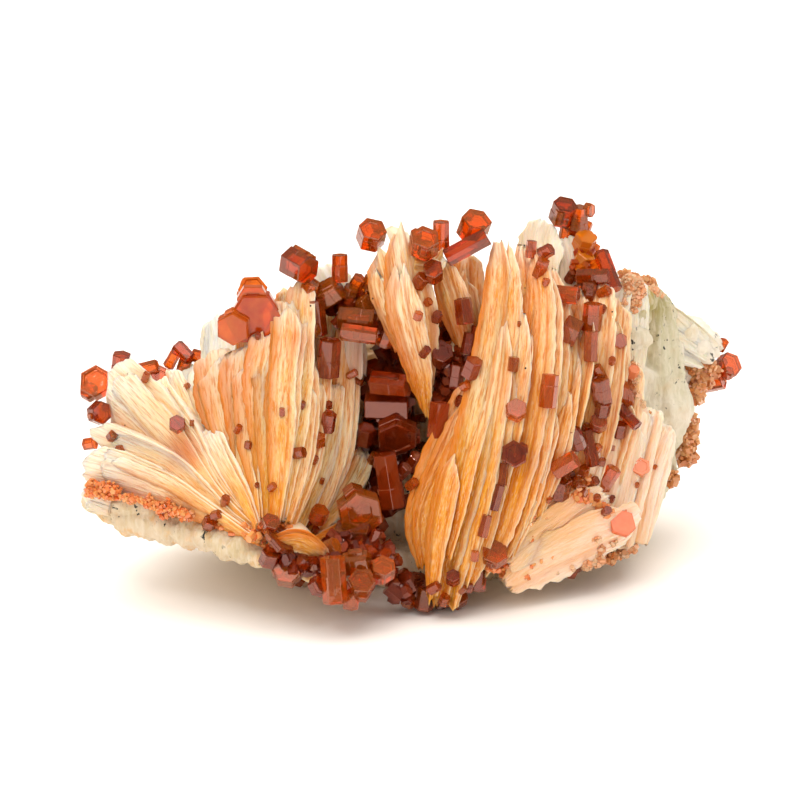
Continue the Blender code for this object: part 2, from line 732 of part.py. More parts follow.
def build_rock(collection, cutters):
    """The host rock: boulders behind the parting and slabs in front, cut flat where it rests."""
    lumps = [chipped_lump(*values, collection) for values in ROCK_LUMPS]
    boulders = combine(lumps[0], lumps[1:], "UNION")
    ahead = parting_block("ahead", GAP / MM, -PARTING_REACH, PARTING_REACH, cutters)
    boulders = combine(boulders, [ahead], "DIFFERENCE")
    slabs = blades("slab", ROCK_SLABS, ROCK_SEED, collection, back_share=SLAB_BACK_SHARE)
    rock = combine(boulders, slabs, "UNION")
    rock = combine(rock, [floor_block("below_rock", 0.0, cutters)], "DIFFERENCE")
    rock.name = "matrix_rock"
    return keep_largest(rock)


def finish_node(obj, name, material):
    """Name a finished solid and give it its one material."""
    keep_largest(obj)
    join_flat_faces(obj)
    obj.name = name
    obj.data.materials.clear()
    obj.data.materials.append(material)


def main():
    """Build the rock, the barite and the vanadinite."""
    clear_scene()
    model = new_collection("vanadinite_on_matrix")
    cutters = new_collection("cutters")
    barite = new_material("barite", (0.86, 0.62, 0.34), 0.55)
    vanadinite = new_material("vanadinite", (0.42, 0.05, 0.01), 0.15)
    host_rock = new_material("host_rock", (0.66, 0.62, 0.52), 0.8)

    rock = build_rock(model, cutters)
    rock_cutters = [parting_block("behind", 0.0, PARTING_REACH, BOULDER_TOP, cutters)]
    rock_cutters += blades("slab.cut", ROCK_SLABS, ROCK_SEED, cutters, GAP, SLAB_BACK_SHARE)
    for cutter in rock_cutters:
        make_cutter(cutter)
    grown = placed_crystals(model)
    grown_cutters = [make_cutter(item["object"]) for item in placed_crystals(cutters, GAP)]

    counts = {}
    for group in clusters(grown):
        main_crystal = max(group, key=lambda item: item["size"])
        region = main_crystal["region"]
        counts[region] = counts.get(region, 0) + 1
        others = [item["object"] for item in group if item is not main_crystal]
        cluster = combine(main_crystal["object"], others, "UNION")
        finish_node(cluster, f"vanadinite_{region}_{counts[region]}", vanadinite)

    lofts = {name: blades(name, *FANS[name], model) for name in FANS}
    surfaces = {name: surface_of(group) for name, group in lofts.items()}
    floor = floor_block("below_barite", FLOOR_CLEARANCE, cutters)
    neighbours = rock_cutters + grown_cutters + [floor]
    for name, group in lofts.items():
        fused = group[1:] + seated_crystals(name, surfaces, model)
        fan = combine(group[0], fused, "UNION")
        combine(fan, overlapping(fan, neighbours), "DIFFERENCE", keep_others=True)
        finish_node(fan, name, barite)
        fan_cutters = blades(f"{name}.cut", *FANS[name], cutters, GAP)
        fan_cutters += seated_crystals(name, surfaces, cutters, GAP)
        neighbours += [make_cutter(cutter) for cutter in fan_cutters]

    combine(rock, overlapping(rock, grown_cutters), "DIFFERENCE", keep_others=True)
    finish_node(rock, "matrix_rock", host_rock)


main()
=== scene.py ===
"""Looks of the vanadinite specimen: layered barite fans, hexagonal vanadinite crystals and host rock.

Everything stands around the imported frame, in metres, with +Z up and +Y to the back. The front of
the piece is set out on the survey grid that the solids use: columns count to the right and rows
count down in steps of GRID_STEP, on a plane that leans back through DATUM. A point of the front is
a grid column, a grid row and how far it lies behind DATUM in millimetres.
"""

import json
import logging
import math
import random
from dataclasses import dataclass, field
from enum import Enum

import bmesh
import bpy
import numpy as np
from mathutils import Matrix, Vector, noise
from mathutils.bvhtree import BVHTree

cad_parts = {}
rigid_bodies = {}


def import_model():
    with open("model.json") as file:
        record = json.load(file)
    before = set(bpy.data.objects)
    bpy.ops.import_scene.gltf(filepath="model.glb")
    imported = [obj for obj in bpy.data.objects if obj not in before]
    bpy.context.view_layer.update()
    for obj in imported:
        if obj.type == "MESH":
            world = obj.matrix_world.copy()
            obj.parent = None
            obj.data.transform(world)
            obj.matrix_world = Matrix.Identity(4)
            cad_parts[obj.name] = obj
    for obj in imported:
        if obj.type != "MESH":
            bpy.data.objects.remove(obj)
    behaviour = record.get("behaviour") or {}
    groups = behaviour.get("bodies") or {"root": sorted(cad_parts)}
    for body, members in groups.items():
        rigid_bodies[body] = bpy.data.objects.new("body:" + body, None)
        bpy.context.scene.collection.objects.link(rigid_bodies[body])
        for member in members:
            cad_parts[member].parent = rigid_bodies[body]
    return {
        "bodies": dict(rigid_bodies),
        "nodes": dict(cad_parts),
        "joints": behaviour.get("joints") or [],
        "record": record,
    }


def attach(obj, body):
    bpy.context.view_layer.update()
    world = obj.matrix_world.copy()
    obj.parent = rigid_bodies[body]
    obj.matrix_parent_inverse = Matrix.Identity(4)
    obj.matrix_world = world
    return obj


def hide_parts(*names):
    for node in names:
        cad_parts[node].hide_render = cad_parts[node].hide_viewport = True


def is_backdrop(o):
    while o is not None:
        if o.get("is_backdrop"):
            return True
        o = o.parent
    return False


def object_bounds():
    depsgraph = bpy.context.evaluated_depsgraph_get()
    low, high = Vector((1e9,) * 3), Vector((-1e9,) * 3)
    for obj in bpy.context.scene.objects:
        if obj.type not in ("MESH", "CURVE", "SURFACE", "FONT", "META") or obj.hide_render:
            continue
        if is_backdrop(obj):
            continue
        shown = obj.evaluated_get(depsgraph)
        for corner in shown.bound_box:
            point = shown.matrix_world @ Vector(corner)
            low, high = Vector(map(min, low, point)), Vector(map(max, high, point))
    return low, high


LOG = logging.getLogger("vanadinite")
PLACED: list[bpy.types.Object] = []

MM = 0.001
GRID_STEP = 0.12 * MM
DATUM = np.array((0.0, -14.0 * MM, 0.0))
DATUM_COLUMN = 420.0
DATUM_ROW = 592.0
STATION_COLUMN = 400.0
STATION_ROW = 400.0
STATION_DISTANCE = 0.8
STATION_ELEVATION = math.radians(18.0)
RIGHTWARD = np.array((1.0, 0.0, 0.0))
UPWARD = np.array((0.0, math.sin(STATION_ELEVATION), math.cos(STATION_ELEVATION)))
INWARD = np.array((0.0, math.cos(STATION_ELEVATION), -math.sin(STATION_ELEVATION)))
STATION = (
    DATUM
    + RIGHTWARD * (STATION_COLUMN - DATUM_COLUMN) * GRID_STEP
    + UPWARD * (DATUM_ROW - STATION_ROW) * GRID_STEP
    - INWARD * STATION_DISTANCE
)
SENSOR_WIDTH_MM = 36.0
FRAME_SIDE = 800.0
LENS_MM = SENSOR_WIDTH_MM * STATION_DISTANCE / (FRAME_SIDE * GRID_STEP)
FLOOR_CLEARANCE = 0.15 * MM
BOX_MARGIN = 0.02 * MM
PROUD_SHARE = 0.3
SMALLEST_WITH_SIDEKICKS = 24.0

Colour = tuple[float, float, float]
Station = tuple[float, float, float, float]


class Fan(Enum):
    """The barite groups, by the name of the CAD node that each stands for."""

    LEFT = "barite_left_fan"
    SPEAR = "barite_spear_blades"
    RIGHT = "barite_right_fan"


class Habit(Enum):
    """How the sheets of a blade lie: how many, how far they step, and how ragged they are."""

    PETAL = "petal"
    STACK = "stack"
    FEATHER = "feather"
    FLANK = "flank"
    PLATE = "plate"


def sight(column: float, row: float) -> np.ndarray:
    """Direction from the station through a point of the survey grid.

    Args:
        column: Grid column.
        row: Grid row.

    Returns:
        Unit vector.
    """
    on_plane = (
        DATUM
        + RIGHTWARD * (column - DATUM_COLUMN) * GRID_STEP
        + UPWARD * (DATUM_ROW - row) * GRID_STEP
    )
    direction = on_plane - STATION
    return direction / np.linalg.norm(direction)


def front_point(column: float, row: float, back: float) -> np.ndarray:
    """Point on the sight line of a grid point.

    Args:
        column: Grid column.
        row: Grid row.
        back: Depth behind DATUM in millimetres.

    Returns:
        The point in metres.
    """
    direction = sight(column, row)
    reach = (DATUM[1] + back * MM - STATION[1]) / direction[1]
    return STATION + direction * reach


def grid_of(points: np.ndarray) -> tuple[np.ndarray, np.ndarray]:
    """Grid columns and rows at which points are seen from the station.

    Args:
        points: Array of points, one a row.

    Returns:
        Columns and rows.
    """
    offset = points - STATION
    share = STATION_DISTANCE / (offset @ INWARD)
    columns = STATION_COLUMN + (offset @ RIGHTWARD) * share / GRID_STEP
    rows = STATION_ROW - (offset @ UPWARD) * share / GRID_STEP
    return columns, rows


def unit(vectors: np.ndarray) -> np.ndarray:
    """Scale each row vector to length one."""
    return vectors / np.linalg.norm(vectors, axis=-1, keepdims=True)


def ripple(at: np.ndarray, spacing: float, draw: np.random.Generator) -> np.ndarray:
    """Smooth random curve between -1 and 1.

    Args:
        at: Where to read the curve.
        spacing: Distance between the curve's random knots.
        draw: Source of the knots.

    Returns:
        The curve's values, shaped as at.
    """
    low = float(at.min()) - spacing
    count = int((float(at.max()) - low) / spacing) + 4
    knots = draw.uniform(-1.0, 1.0, count)
    place = (at - low) / spacing
    index = np.floor(place).astype(int)
    part = place - index
    part = part * part * (3.0 - 2.0 * part)
    return knots[index] * (1.0 - part) + knots[index + 1] * part


def grain_field(across: np.ndarray, along: np.ndarray, draw: np.random.Generator) -> np.ndarray:
    """Random streaks that run along a blade and drift a little from side to side.

    Args:
        across: Place across the blade in millimetres.
        along: Place along it in millimetres.
        draw: Source of the streaks.

    Returns:
        Heights between about -1 and 1.
    """
    drift = 0.25 * ripple(along, 4.0, draw) + 0.08 * ripple(along, 1.2, draw)
    coarse = ripple(across + drift, 0.55, draw)
    fine = ripple(across + 1.4 * drift, 0.2, draw)
    break_up = ripple(along, 1.6, draw) * ripple(across, 0.35, draw)
    return 0.38 * coarse + 0.27 * fine + 0.35 * break_up


@dataclass
class MeshParts:
    """Vertices, faces and vertex attributes that are gathered for one piece."""

    points: list[np.ndarray] = field(default_factory=list)
    faces: list[tuple[int, ...]] = field(default_factory=list)
    attributes: dict[str, list[np.ndarray]] = field(default_factory=dict)
    count: int = 0

    def add(self, points: np.ndarray, faces: list[tuple[int, ...]], **attributes: np.ndarray) -> None:
        """Add one closed form.

        Args:
            points: Its points, one a row.
            faces: Its faces, as indices of its own points.
            **attributes: Vectors for each point, by attribute name.
        """
        self.points.append(points)
        self.faces.extend(tuple(self.count + index for index in face) for face in faces)
        for name, values in attributes.items():
            self.attributes.setdefault(name, []).append(values)
        self.count += len(points)

    def build(self, name: str, material: bpy.types.Material, smooth: bool) -> bpy.types.Object:
        """Make the piece's object.

        Args:
            name: Name of the piece.
            material: Its finish.
            smooth: Whether its faces are shaded smooth.

        Returns:
            The object.
        """
        points = np.concatenate(self.points)
        mesh = bpy.data.meshes.new(name)
        mesh.from_pydata(points.tolist(), [], self.faces)
        for key, chunks in self.attributes.items():
            layer = mesh.attributes.new(key, "FLOAT_VECTOR", "POINT")
            layer.data.foreach_set("vector", np.concatenate(chunks).astype(np.float32).ravel())
        mesh.polygons.foreach_set("use_smooth", [smooth] * len(mesh.polygons))
        mesh.materials.append(material)
        mesh.update()
        obj = bpy.data.objects.new(name, mesh)
        bpy.context.scene.collection.objects.link(obj)
        return obj


@dataclass(frozen=True)
class NodeBench:
    """Short hand for building a material's node tree."""

    tree: bpy.types.NodeTree

    def node(self, kind: str, **values: object) -> bpy.types.Node:
        """Add a node.

        Args:
            kind: Blender's name of the node type, without the ShaderNode prefix.
            **values: Properties to set on it.

        Returns:
            The node.
        """
        made = self.tree.nodes.new(f"ShaderNode{kind}")
        for key, value in values.items():
            setattr(made, key, value)
        return made

    def wire(self, source: bpy.types.NodeSocket, target: bpy.types.NodeSocket) -> None:
        """Join two sockets."""
        self.tree.links.new(source, target)

    def noise(self, place: bpy.types.NodeSocket, scale: float, detail: float = 3.0) -> bpy.types.NodeSocket:
        """Noise read at a place.

        Args:
            place: Vector socket.
            scale: Cells a unit.
            detail: Octaves.

        Returns:
            The noise's factor.
        """
        made = self.node("TexNoise")
        made.inputs["Scale"].default_value = scale
        made.inputs["Detail"].default_value = detail
        self.wire(place, made.inputs["Vector"])
        return made.outputs["Fac"]

    def scaled(self, place: bpy.types.NodeSocket, scale: Colour) -> bpy.types.NodeSocket:
        """A vector stretched along each axis."""
        made = self.node("Mapping")
        made.inputs["Scale"].default_value = scale
        self.wire(place, made.inputs["Vector"])
        return made.outputs["Vector"]

    def ramp(self, value: bpy.types.NodeSocket, low: float, high: float) -> bpy.types.NodeSocket:
        """A value spread from 0 at low to 1 at high, held within them."""
        made = self.node("MapRange")
        made.inputs["From Min"].default_value = low
        made.inputs["From Max"].default_value = high
        self.wire(value, made.inputs["Value"])
        return made.outputs["Result"]

    def product(self, one: bpy.types.NodeSocket, other: bpy.types.NodeSocket | float) -> bpy.types.NodeSocket:
        """One value times another."""
        made = self.node("Math", operation="MULTIPLY")
        self.wire(one, made.inputs[0])
        if isinstance(other, float):
            made.inputs[1].default_value = other
        else:
            self.wire(other, made.inputs[1])
        return made.outputs[0]

    def blend(
        self,
        factor: bpy.types.NodeSocket,
        start: bpy.types.NodeSocket | Colour,
        end: bpy.types.NodeSocket | Colour,
    ) -> bpy.types.NodeSocket:
        """Mix two colours.

        Args:
            factor: How much of the end colour shows.
            start: Colour or socket at factor 0.
            end: Colour or socket at factor 1.

        Returns:
            The mixed colour.
        """
        made = self.node("Mix", data_type="RGBA")
        self.wire(factor, made.inputs["Factor"])
        for socket, value in ((made.inputs[6], start), (made.inputs[7], end)):
            if isinstance(value, tuple):
                socket.default_value = (*value, 1.0)
            else:
                self.wire(value, socket)
        return made.outputs[2]

    def attribute(self, name: str) -> bpy.types.Node:
        """Reader of a mesh attribute."""
        return self.node("Attribute", attribute_name=name)

    def parts(self, vector: bpy.types.NodeSocket) -> bpy.types.Node:
        """Split a vector into its three values."""
        made = self.node("SeparateXYZ")
        self.wire(vector, made.inputs["Vector"])
        return made


def start_material(name: str) -> tuple[bpy.types.Material, NodeBench, bpy.types.Node]:
    """Make a material with its Principled shader.

    Args:
        name: Name of the material.

    Returns:
        The material, the bench of its tree and its shader.
    """
    material = bpy.data.materials.new(name)
    material.use_nodes = True
    bench = NodeBench(material.node_tree)
    return material, bench, material.node_tree.nodes["Principled BSDF"]


@dataclass(frozen=True)
class BariteFinish:
    """Silky barite: cream sheets with ochre streaks, orange towards the roots (partly its own stain, partly painted
    shade where the sheets dive into the crevices), painted ochre shade at tucked edges and ledges, and a painted
    highlight on the right rims and tips.
    """

    name: str = "barite_sheets"
    pale: Colour = (0.86, 0.71, 0.47)
    cream: Colour = (0.82, 0.48, 0.16)
    gold: Colour = (0.79, 0.31, 0.01)
    ochre: Colour = (0.6, 0.15, 0.002)
    rust: Colour = (0.6, 0.1, 0.006)
    blush: Colour = (0.94, 0.62, 0.43)
    # Frost of the tips, also laid on as the painted highlight along the right rims and tips.
    frost_and_highlight: Colour = (0.95, 0.87, 0.71)
    speck: Colour = (0.03, 0.022, 0.015)
    streaking: float = 1.1
    frosting: float = 0.2

    def build(self) -> bpy.types.Material:
        """Make the material. It reads the attributes grain, place and stain of the sheets."""
        material, bench, shader = start_material(self.name)
        grain = bench.attribute("grain").outputs["Vector"]
        tint = bench.parts(grain).outputs["Z"]
        place = bench.parts(bench.attribute("place").outputs["Vector"])
        stain = bench.parts(bench.attribute("stain").outputs["Vector"])
        streaks = bench.ramp(bench.noise(bench.scaled(grain, (2.4, 0.26, 5.0)), 1.0, 5.0), 0.47, 0.66)
        hairs = bench.ramp(bench.noise(bench.scaled(grain, (4.8, 0.5, 5.0)), 1.0, 5.0), 0.5, 0.62)
        threads = bench.ramp(bench.noise(bench.scaled(grain, (9.0, 1.3, 5.0)), 1.0, 3.0), 0.5, 0.62)
        clouds = bench.ramp(bench.noise(bench.scaled(grain, (0.45, 0.12, 5.0)), 1.0), 0.38, 0.8)
        base = bench.blend(clouds, self.pale, self.cream)
        base = bench.blend(bench.product(tint, 0.35 * self.streaking), base, self.cream)
        base = bench.blend(stain.outputs["Z"], base, self.blush)
        base = bench.blend(stain.outputs["X"], base, self.gold)
        # Orange towards the root: partly the barite's own staining, partly painted shade where the sheets dive into the
        # crevices.
        inner = bench.ramp(place.outputs["X"], 0.45, 0.0)
        base = bench.blend(bench.product(inner, 0.55 * self.streaking), base, self.gold)
        outer = bench.ramp(place.outputs["X"], 0.55, 1.0)
        base = bench.blend(bench.product(outer, self.frosting), base, self.frost_and_highlight)
        golden = bench.product(stain.outputs["X"], streaks)
        base = bench.blend(bench.product(golden, 0.8 * self.streaking), base, self.ochre)
        base = bench.blend(bench.product(streaks, 0.5 * self.streaking), base, self.gold)
        base = bench.blend(bench.product(hairs, 0.6 * self.streaking), base, self.ochre)
        base = bench.blend(bench.product(threads, 0.3 * self.streaking), base, self.pale)
        # Painted shade: ochre laid where the sheets tuck back and at the feet of the ledges (place Z).
        base = bench.blend(bench.product(place.outputs["Z"], 0.8 * self.streaking), base, self.ochre)
        base = bench.blend(stain.outputs["Y"], base, self.rust)
        # Painted highlight: the frost colour laid along the right rims and at the tips (place Y).
        base = bench.blend(bench.product(place.outputs["Y"], 0.6), base, self.frost_and_highlight)
        dots = bench.node("TexVoronoi", feature="F1")
        dots.inputs["Scale"].default_value = 0.3
        bench.wire(grain, dots.inputs["Vector"])
        dark = bench.node("Math", operation="LESS_THAN")
        bench.wire(dots.outputs["Distance"], dark.inputs[0])
        dark.inputs[1].default_value = 0.035
        amid = bench.product(bench.ramp(place.outputs["X"], 0.06, 0.12), bench.ramp(place.outputs["X"], 0.97, 0.92))
        base = bench.blend(bench.product(amid, dark.outputs[0]), base, self.speck)
        bench.wire(base, shader.inputs["Base Color"])
        shader.inputs["Roughness"].default_value = 0.45
        shader.inputs["IOR"].default_value = 1.64
        shader.inputs["Specular IOR Level"].default_value = 0.16
        glint = bench.ramp(bench.noise(bench.scaled(grain, (4.0, 1.2, 5.0)), 1.0, 2.0), 0.6, 0.7)
        bench.wire(bench.product(glint, 0.6), shader.inputs["Coat Weight"])
        shader.inputs["Coat Roughness"].default_value = 0.12
        shader.inputs["Coat IOR"].default_value = 1.6
        shader.inputs["Subsurface Weight"].default_value = 0.35
        shader.inputs["Subsurface Radius"].default_value = (1.0, 0.6, 0.25)
        shader.inputs["Subsurface Scale"].default_value = 0.001
        fine = bench.node("Bump")
        fine.inputs["Strength"].default_value = 1.0
        fine.inputs["Distance"].default_value = 0.00025
        bench.wire(bench.noise(bench.scaled(grain, (4.8, 0.5, 5.0)), 1.0, 6.0), fine.inputs["Height"])
        grit = bench.node("Bump")
        grit.inputs["Strength"].default_value = 0.35
        grit.inputs["Distance"].default_value = 0.00015
        bench.wire(bench.noise(bench.scaled(grain, (9.0, 4.5, 8.0)), 1.0, 4.0), grit.inputs["Height"])
        bench.wire(fine.outputs["Normal"], grit.inputs["Normal"])
        bench.wire(grit.outputs["Normal"], shader.inputs["Normal"])
        return material


@dataclass(frozen=True)
class VanadiniteFinish:
    """Glossy resinous vanadinite, deep red-brown in the mass and orange where it is thin."""

    name: str
    deep: Colour
    glow: Colour
    roughness: float
    transmission: float
    density: float
    sheen: float = 0.5

    def build(self) -> bpy.types.Material:
        """Make the material. It reads the attribute tone of the crystals."""
        material, bench, shader = start_material(self.name)
        tone = bench.parts(bench.attribute("tone").outputs["Vector"])
        here = bench.node("TexCoord").outputs["Object"]
        cloud = bench.ramp(bench.noise(here, 900.0), 0.3, 0.7)
        lift = bench.node("Math", operation="ADD", use_clamp=True)
        bench.wire(bench.product(cloud, 0.35), lift.inputs[0])
        bench.wire(tone.outputs["X"], lift.inputs[1])
        bench.wire(bench.blend(lift.outputs[0], self.deep, self.glow), shader.inputs["Base Color"])
        shader.inputs["Roughness"].default_value = self.roughness
        shader.inputs["IOR"].default_value = 2.0
        shader.inputs["Specular IOR Level"].default_value = self.sheen
        shader.inputs["Specular Tint"].default_value = (1.0, 0.62, 0.55, 1.0)
        shader.inputs["Transmission Weight"].default_value = self.transmission
        absorb = bench.node("VolumeAbsorption")
        absorb.inputs["Color"].default_value = (0.95, 0.45, 0.0, 1.0)
        absorb.inputs["Density"].default_value = self.density
        bench.wire(absorb.outputs["Volume"], bench.tree.nodes["Material Output"].inputs["Volume"])
        bump = bench.node("Bump")
        bump.inputs["Strength"].default_value = 0.12
        bump.inputs["Distance"].default_value = 0.00005
        bench.wire(bench.noise(here, 2600.0), bump.inputs["Height"])
        bench.wire(bump.outputs["Normal"], shader.inputs["Normal"])
        return material


@dataclass(frozen=True)
class RockFinish:
    """Dull pale host rock: white to grey-green, olive patches and black specks."""

    name: str = "host_rock_face"
    white: Colour = (0.8, 0.72, 0.6)
    green: Colour = (0.6, 0.55, 0.38)
    olive: Colour = (0.3, 0.24, 0.05)
    rust: Colour = (0.72, 0.36, 0.09)
    speck: Colour = (0.03, 0.03, 0.025)

    def build(self) -> bpy.types.Material:
        """Make the material. It reads the attribute stain of the rock."""
        material, bench, shader = start_material(self.name)
        here = bench.node("TexCoord").outputs["Object"]
        stain = bench.parts(bench.attribute("stain").outputs["Vector"])
        broad = bench.ramp(bench.noise(here, 120.0), 0.4, 0.62)
        base = bench.blend(broad, self.white, self.green)
        base = bench.blend(stain.outputs["X"], base, self.olive)
        patches = bench.ramp(bench.noise(here, 420.0, 5.0), 0.52, 0.75)
        base = bench.blend(bench.product(patches, stain.outputs["Y"]), base, self.rust)
        base = bench.blend(bench.product(stain.outputs["Z"], 0.5), base, self.rust)
        fibres = bench.ramp(bench.noise(bench.scaled(here, (2200.0, 2200.0, 260.0)), 1.0, 4.0), 0.4, 0.7)
        base = bench.blend(bench.product(fibres, 0.5), base, self.white)
        flocks = bench.ramp(bench.noise(here, 230.0, 2.0), 0.5, 0.58)
        specks = bench.ramp(bench.noise(bench.scaled(here, (1700.0, 1700.0, 1300.0)), 1.0, 2.0), 0.62, 0.66)
        base = bench.blend(bench.product(specks, flocks), base, self.speck)
        bench.wire(base, shader.inputs["Base Color"])
        shader.inputs["Roughness"].default_value = 0.75
        shader.inputs["Subsurface Weight"].default_value = 0.1
        shader.inputs["Subsurface Radius"].default_value = (1.0, 0.8, 0.6)
        shader.inputs["Subsurface Scale"].default_value = 0.0008
        bump = bench.node("Bump")
        bump.inputs["Strength"].default_value = 0.8
        bump.inputs["Distance"].default_value = 0.0004
        bench.wire(
            bench.noise(bench.scaled(here, (1500.0, 1500.0, 600.0)), 1.0, 8.0), bump.inputs["Height"]
        )
        bench.wire(bump.outputs["Normal"], shader.inputs["Normal"])
        return material


@dataclass(frozen=True)
class Blade:
    """One barite blade: where its front edge runs and how its sheets lie.

    The stations are (column, row, breadth in grid steps, mm behind DATUM) from root to tip. Turn
    is how far the broad face is turned to the right, in degrees.
    """

    depth: float
    turn: float
    stations: tuple[Station, ...]


@dataclass(frozen=True)
class SheetRule:
    """How a habit splits a blade into sheets, each a little in front of the last and shorter.

    Steps and teeth are in millimetres. Breadth, bulge, lip and ragged are shares of the breadth.
    """

    sheets: int
    step_across: float
    step_front: float
    breadth: float
    bulge: float
    lip: float
    ragged: float
    tip_teeth: float
    tip_round: float
    terraces: int
    grain: float
    shortest: float
    point_share: float
    point_power: float
    ledge: float = 0.22


SHEET_RULES = {
    Habit.PETAL: SheetRule(2, 0.06, 0.35, 1.12, 0.06, 0.09, 0.06, 1.0, 0.7, 0, 0.04, 0.92, 0.03, 0.4),
    Habit.STACK: SheetRule(2, 0.12, 0.35, 1.12, 0.04, 0.04, 0.06, 1.8, 0.4, 1, 0.06, 0.84, 0.05, 0.5, 0.25),
    Habit.FEATHER: SheetRule(2, 0.18, 0.45, 1.15, 0.03, 0.02, 0.07, 2.8, 0.35, 4, 0.08, 0.7, 0.12, 0.6, 0.3),
    Habit.FLANK: SheetRule(2, 0.12, 0.40, 1.10, 0.04, 0.05, 0.07, 1.4, 0.4, 3, 0.10, 0.8, 0.06, 0.5),
    Habit.PLATE: SheetRule(1, 0.0, 0.0, 1.05, 0.02, 0.01, 0.12, 1.6, 0.3, 2, 0.06, 0.86, 0.08, 0.5),
}

LEFT_PETALS = (
    Blade(13.0, -10.0, ((262, 543, 10, -13), (213, 518, 18, -9), (174, 500, 34, -7), (136, 482, 48, -5),
                        (74, 466, 46, -2.5))),
    Blade(6.0, -18.0, ((258, 541, 8, -13.4), (205, 507, 14, -9.6), (160, 479, 20, -6.8), (100, 456, 22, -4))),
    Blade(13.0, -24.0, ((259, 536, 10, -12.6), (226, 516, 20, -9.6), (196, 491, 32, -7), (160, 462, 40, -4.4),
                        (80, 429, 46, -0.6))),
    Blade(13.0, -24.0, ((256, 530, 10, -12.1), (214, 492, 24, -7.6), (178, 446, 48, -2.6),
                        (136, 403, 72, 0.6), (103, 374, 68, 3))),
    Blade(13.0, -24.0, ((254, 528, 10, -11.6), (214, 480, 22, -6.6), (188, 440, 36, -2.0),
                        (160, 404, 50, 2.0), (148, 384, 40, 4))),
    Blade(12.0, -20.0, ((196, 462, 8, -3), (192, 430, 22, 1.4), (182, 398, 22, 4), (169, 364, 14, 6))),
    Blade(11.0, -26.0, ((258, 526, 10, -11.6), (248, 478, 24, -8), (230, 436, 36, -3.4), (205, 402, 36, 0))),
    Blade(11.0, -28.0, ((258, 533, 10, -12.8), (240, 496, 28, -9.6), (218, 460, 40, -5.4), (200, 427, 34, -2))),
)
LEFT_LEAVES = (
    Blade(9.0, 20.0, ((268, 546, 14, -14), (300, 543, 28, -14), (334, 566, 14, -13))),
    Blade(8.0, 10.0, ((284, 552, 14, -12.5), (316, 572, 28, -13.5), (348, 580, 14, -13))),
    Blade(9.0, 10.0, ((312, 548, 14, -8), (342, 534, 22, -5.5), (372, 512, 14, -2))),
)
LEFT_STACK = (
    Blade(16.0, -12.0, ((262, 531, 11, -12), (245, 462, 42, -7), (231, 396, 68, -2), (224, 342, 62, 1))),
    Blade(16.0, -10.0, ((266, 529, 10, -11.9), (255, 450, 40, -7), (250, 392, 58, -3.4), (250, 336, 58, 0))),
    Blade(16.0, -8.0, ((270, 532, 11, -12.3), (268, 445, 34, -7.4), (269, 385, 46, -4.4), (273, 322, 42, 0))),
    Blade(16.0, -8.0, ((276, 528, 10, -12.3), (282, 435, 30, -7.5), (285, 375, 32, -4.4), (290, 292, 32, 2))),
    Blade(16.0, -4.0, ((278, 530, 11, -11.9), (292, 430, 28, -6.4), (298, 360, 28, -2), (302, 276, 26, 3))),
    Blade(15.0, 6.0, ((284, 529, 10, -11.1), (304, 445, 24, -6), (309, 357, 18, -1))),
    Blade(15.0, 10.0, ((288, 532, 11, -10), (311, 450, 26, -4.5), (322, 352, 18, 1))),
    Blade(15.0, 12.0, ((296, 532, 11, -8), (325, 455, 24, -2), (335, 380, 20, 2))),
    Blade(14.0, 16.0, ((310, 535, 14, -6), (338, 450, 30, 0), (347, 345, 26, 5), (344, 285, 16, 7))),
    Blade(12.0, 14.0, ((316, 528, 15, -5), (350, 482, 30, 0), (368, 444, 16, 4))),
    Blade(14.0, -6.0, ((262, 420, 22, -3), (252, 350, 30, 2.5), (250, 296, 18, 5.5))),
    Blade(12.0, 0.0, ((284, 390, 18, -1), (286, 318, 26, 6), (285, 284, 14, 8))),
    Blade(12.0, 6.0, ((318, 440, 26, 2), (322, 350, 40, 6), (328, 296, 32, 9))),
)
SPEAR_BLADES = (
    Blade(15.0, 8.0, ((427, 414, 8, 2), (421, 364, 30, 0), (408, 300, 44, 0), (398, 212, 22, 4))),
    Blade(13.0, 8.0, ((404, 352, 16, 2.5), (388, 300, 30, 3), (373, 240, 18, 6))),
    Blade(13.0, 6.0, ((466, 356, 8, 3.5), (455, 304, 32, 4), (441, 252, 16, 6))),
    Blade(12.0, 0.0, ((410, 262, 30, 3), (432, 262, 20, 4), (444, 246, 12, 5))),
    Blade(12.0, 0.0, ((478, 350, 20, 7), (468, 290, 30, 8), (468, 250, 20, 10))),
)
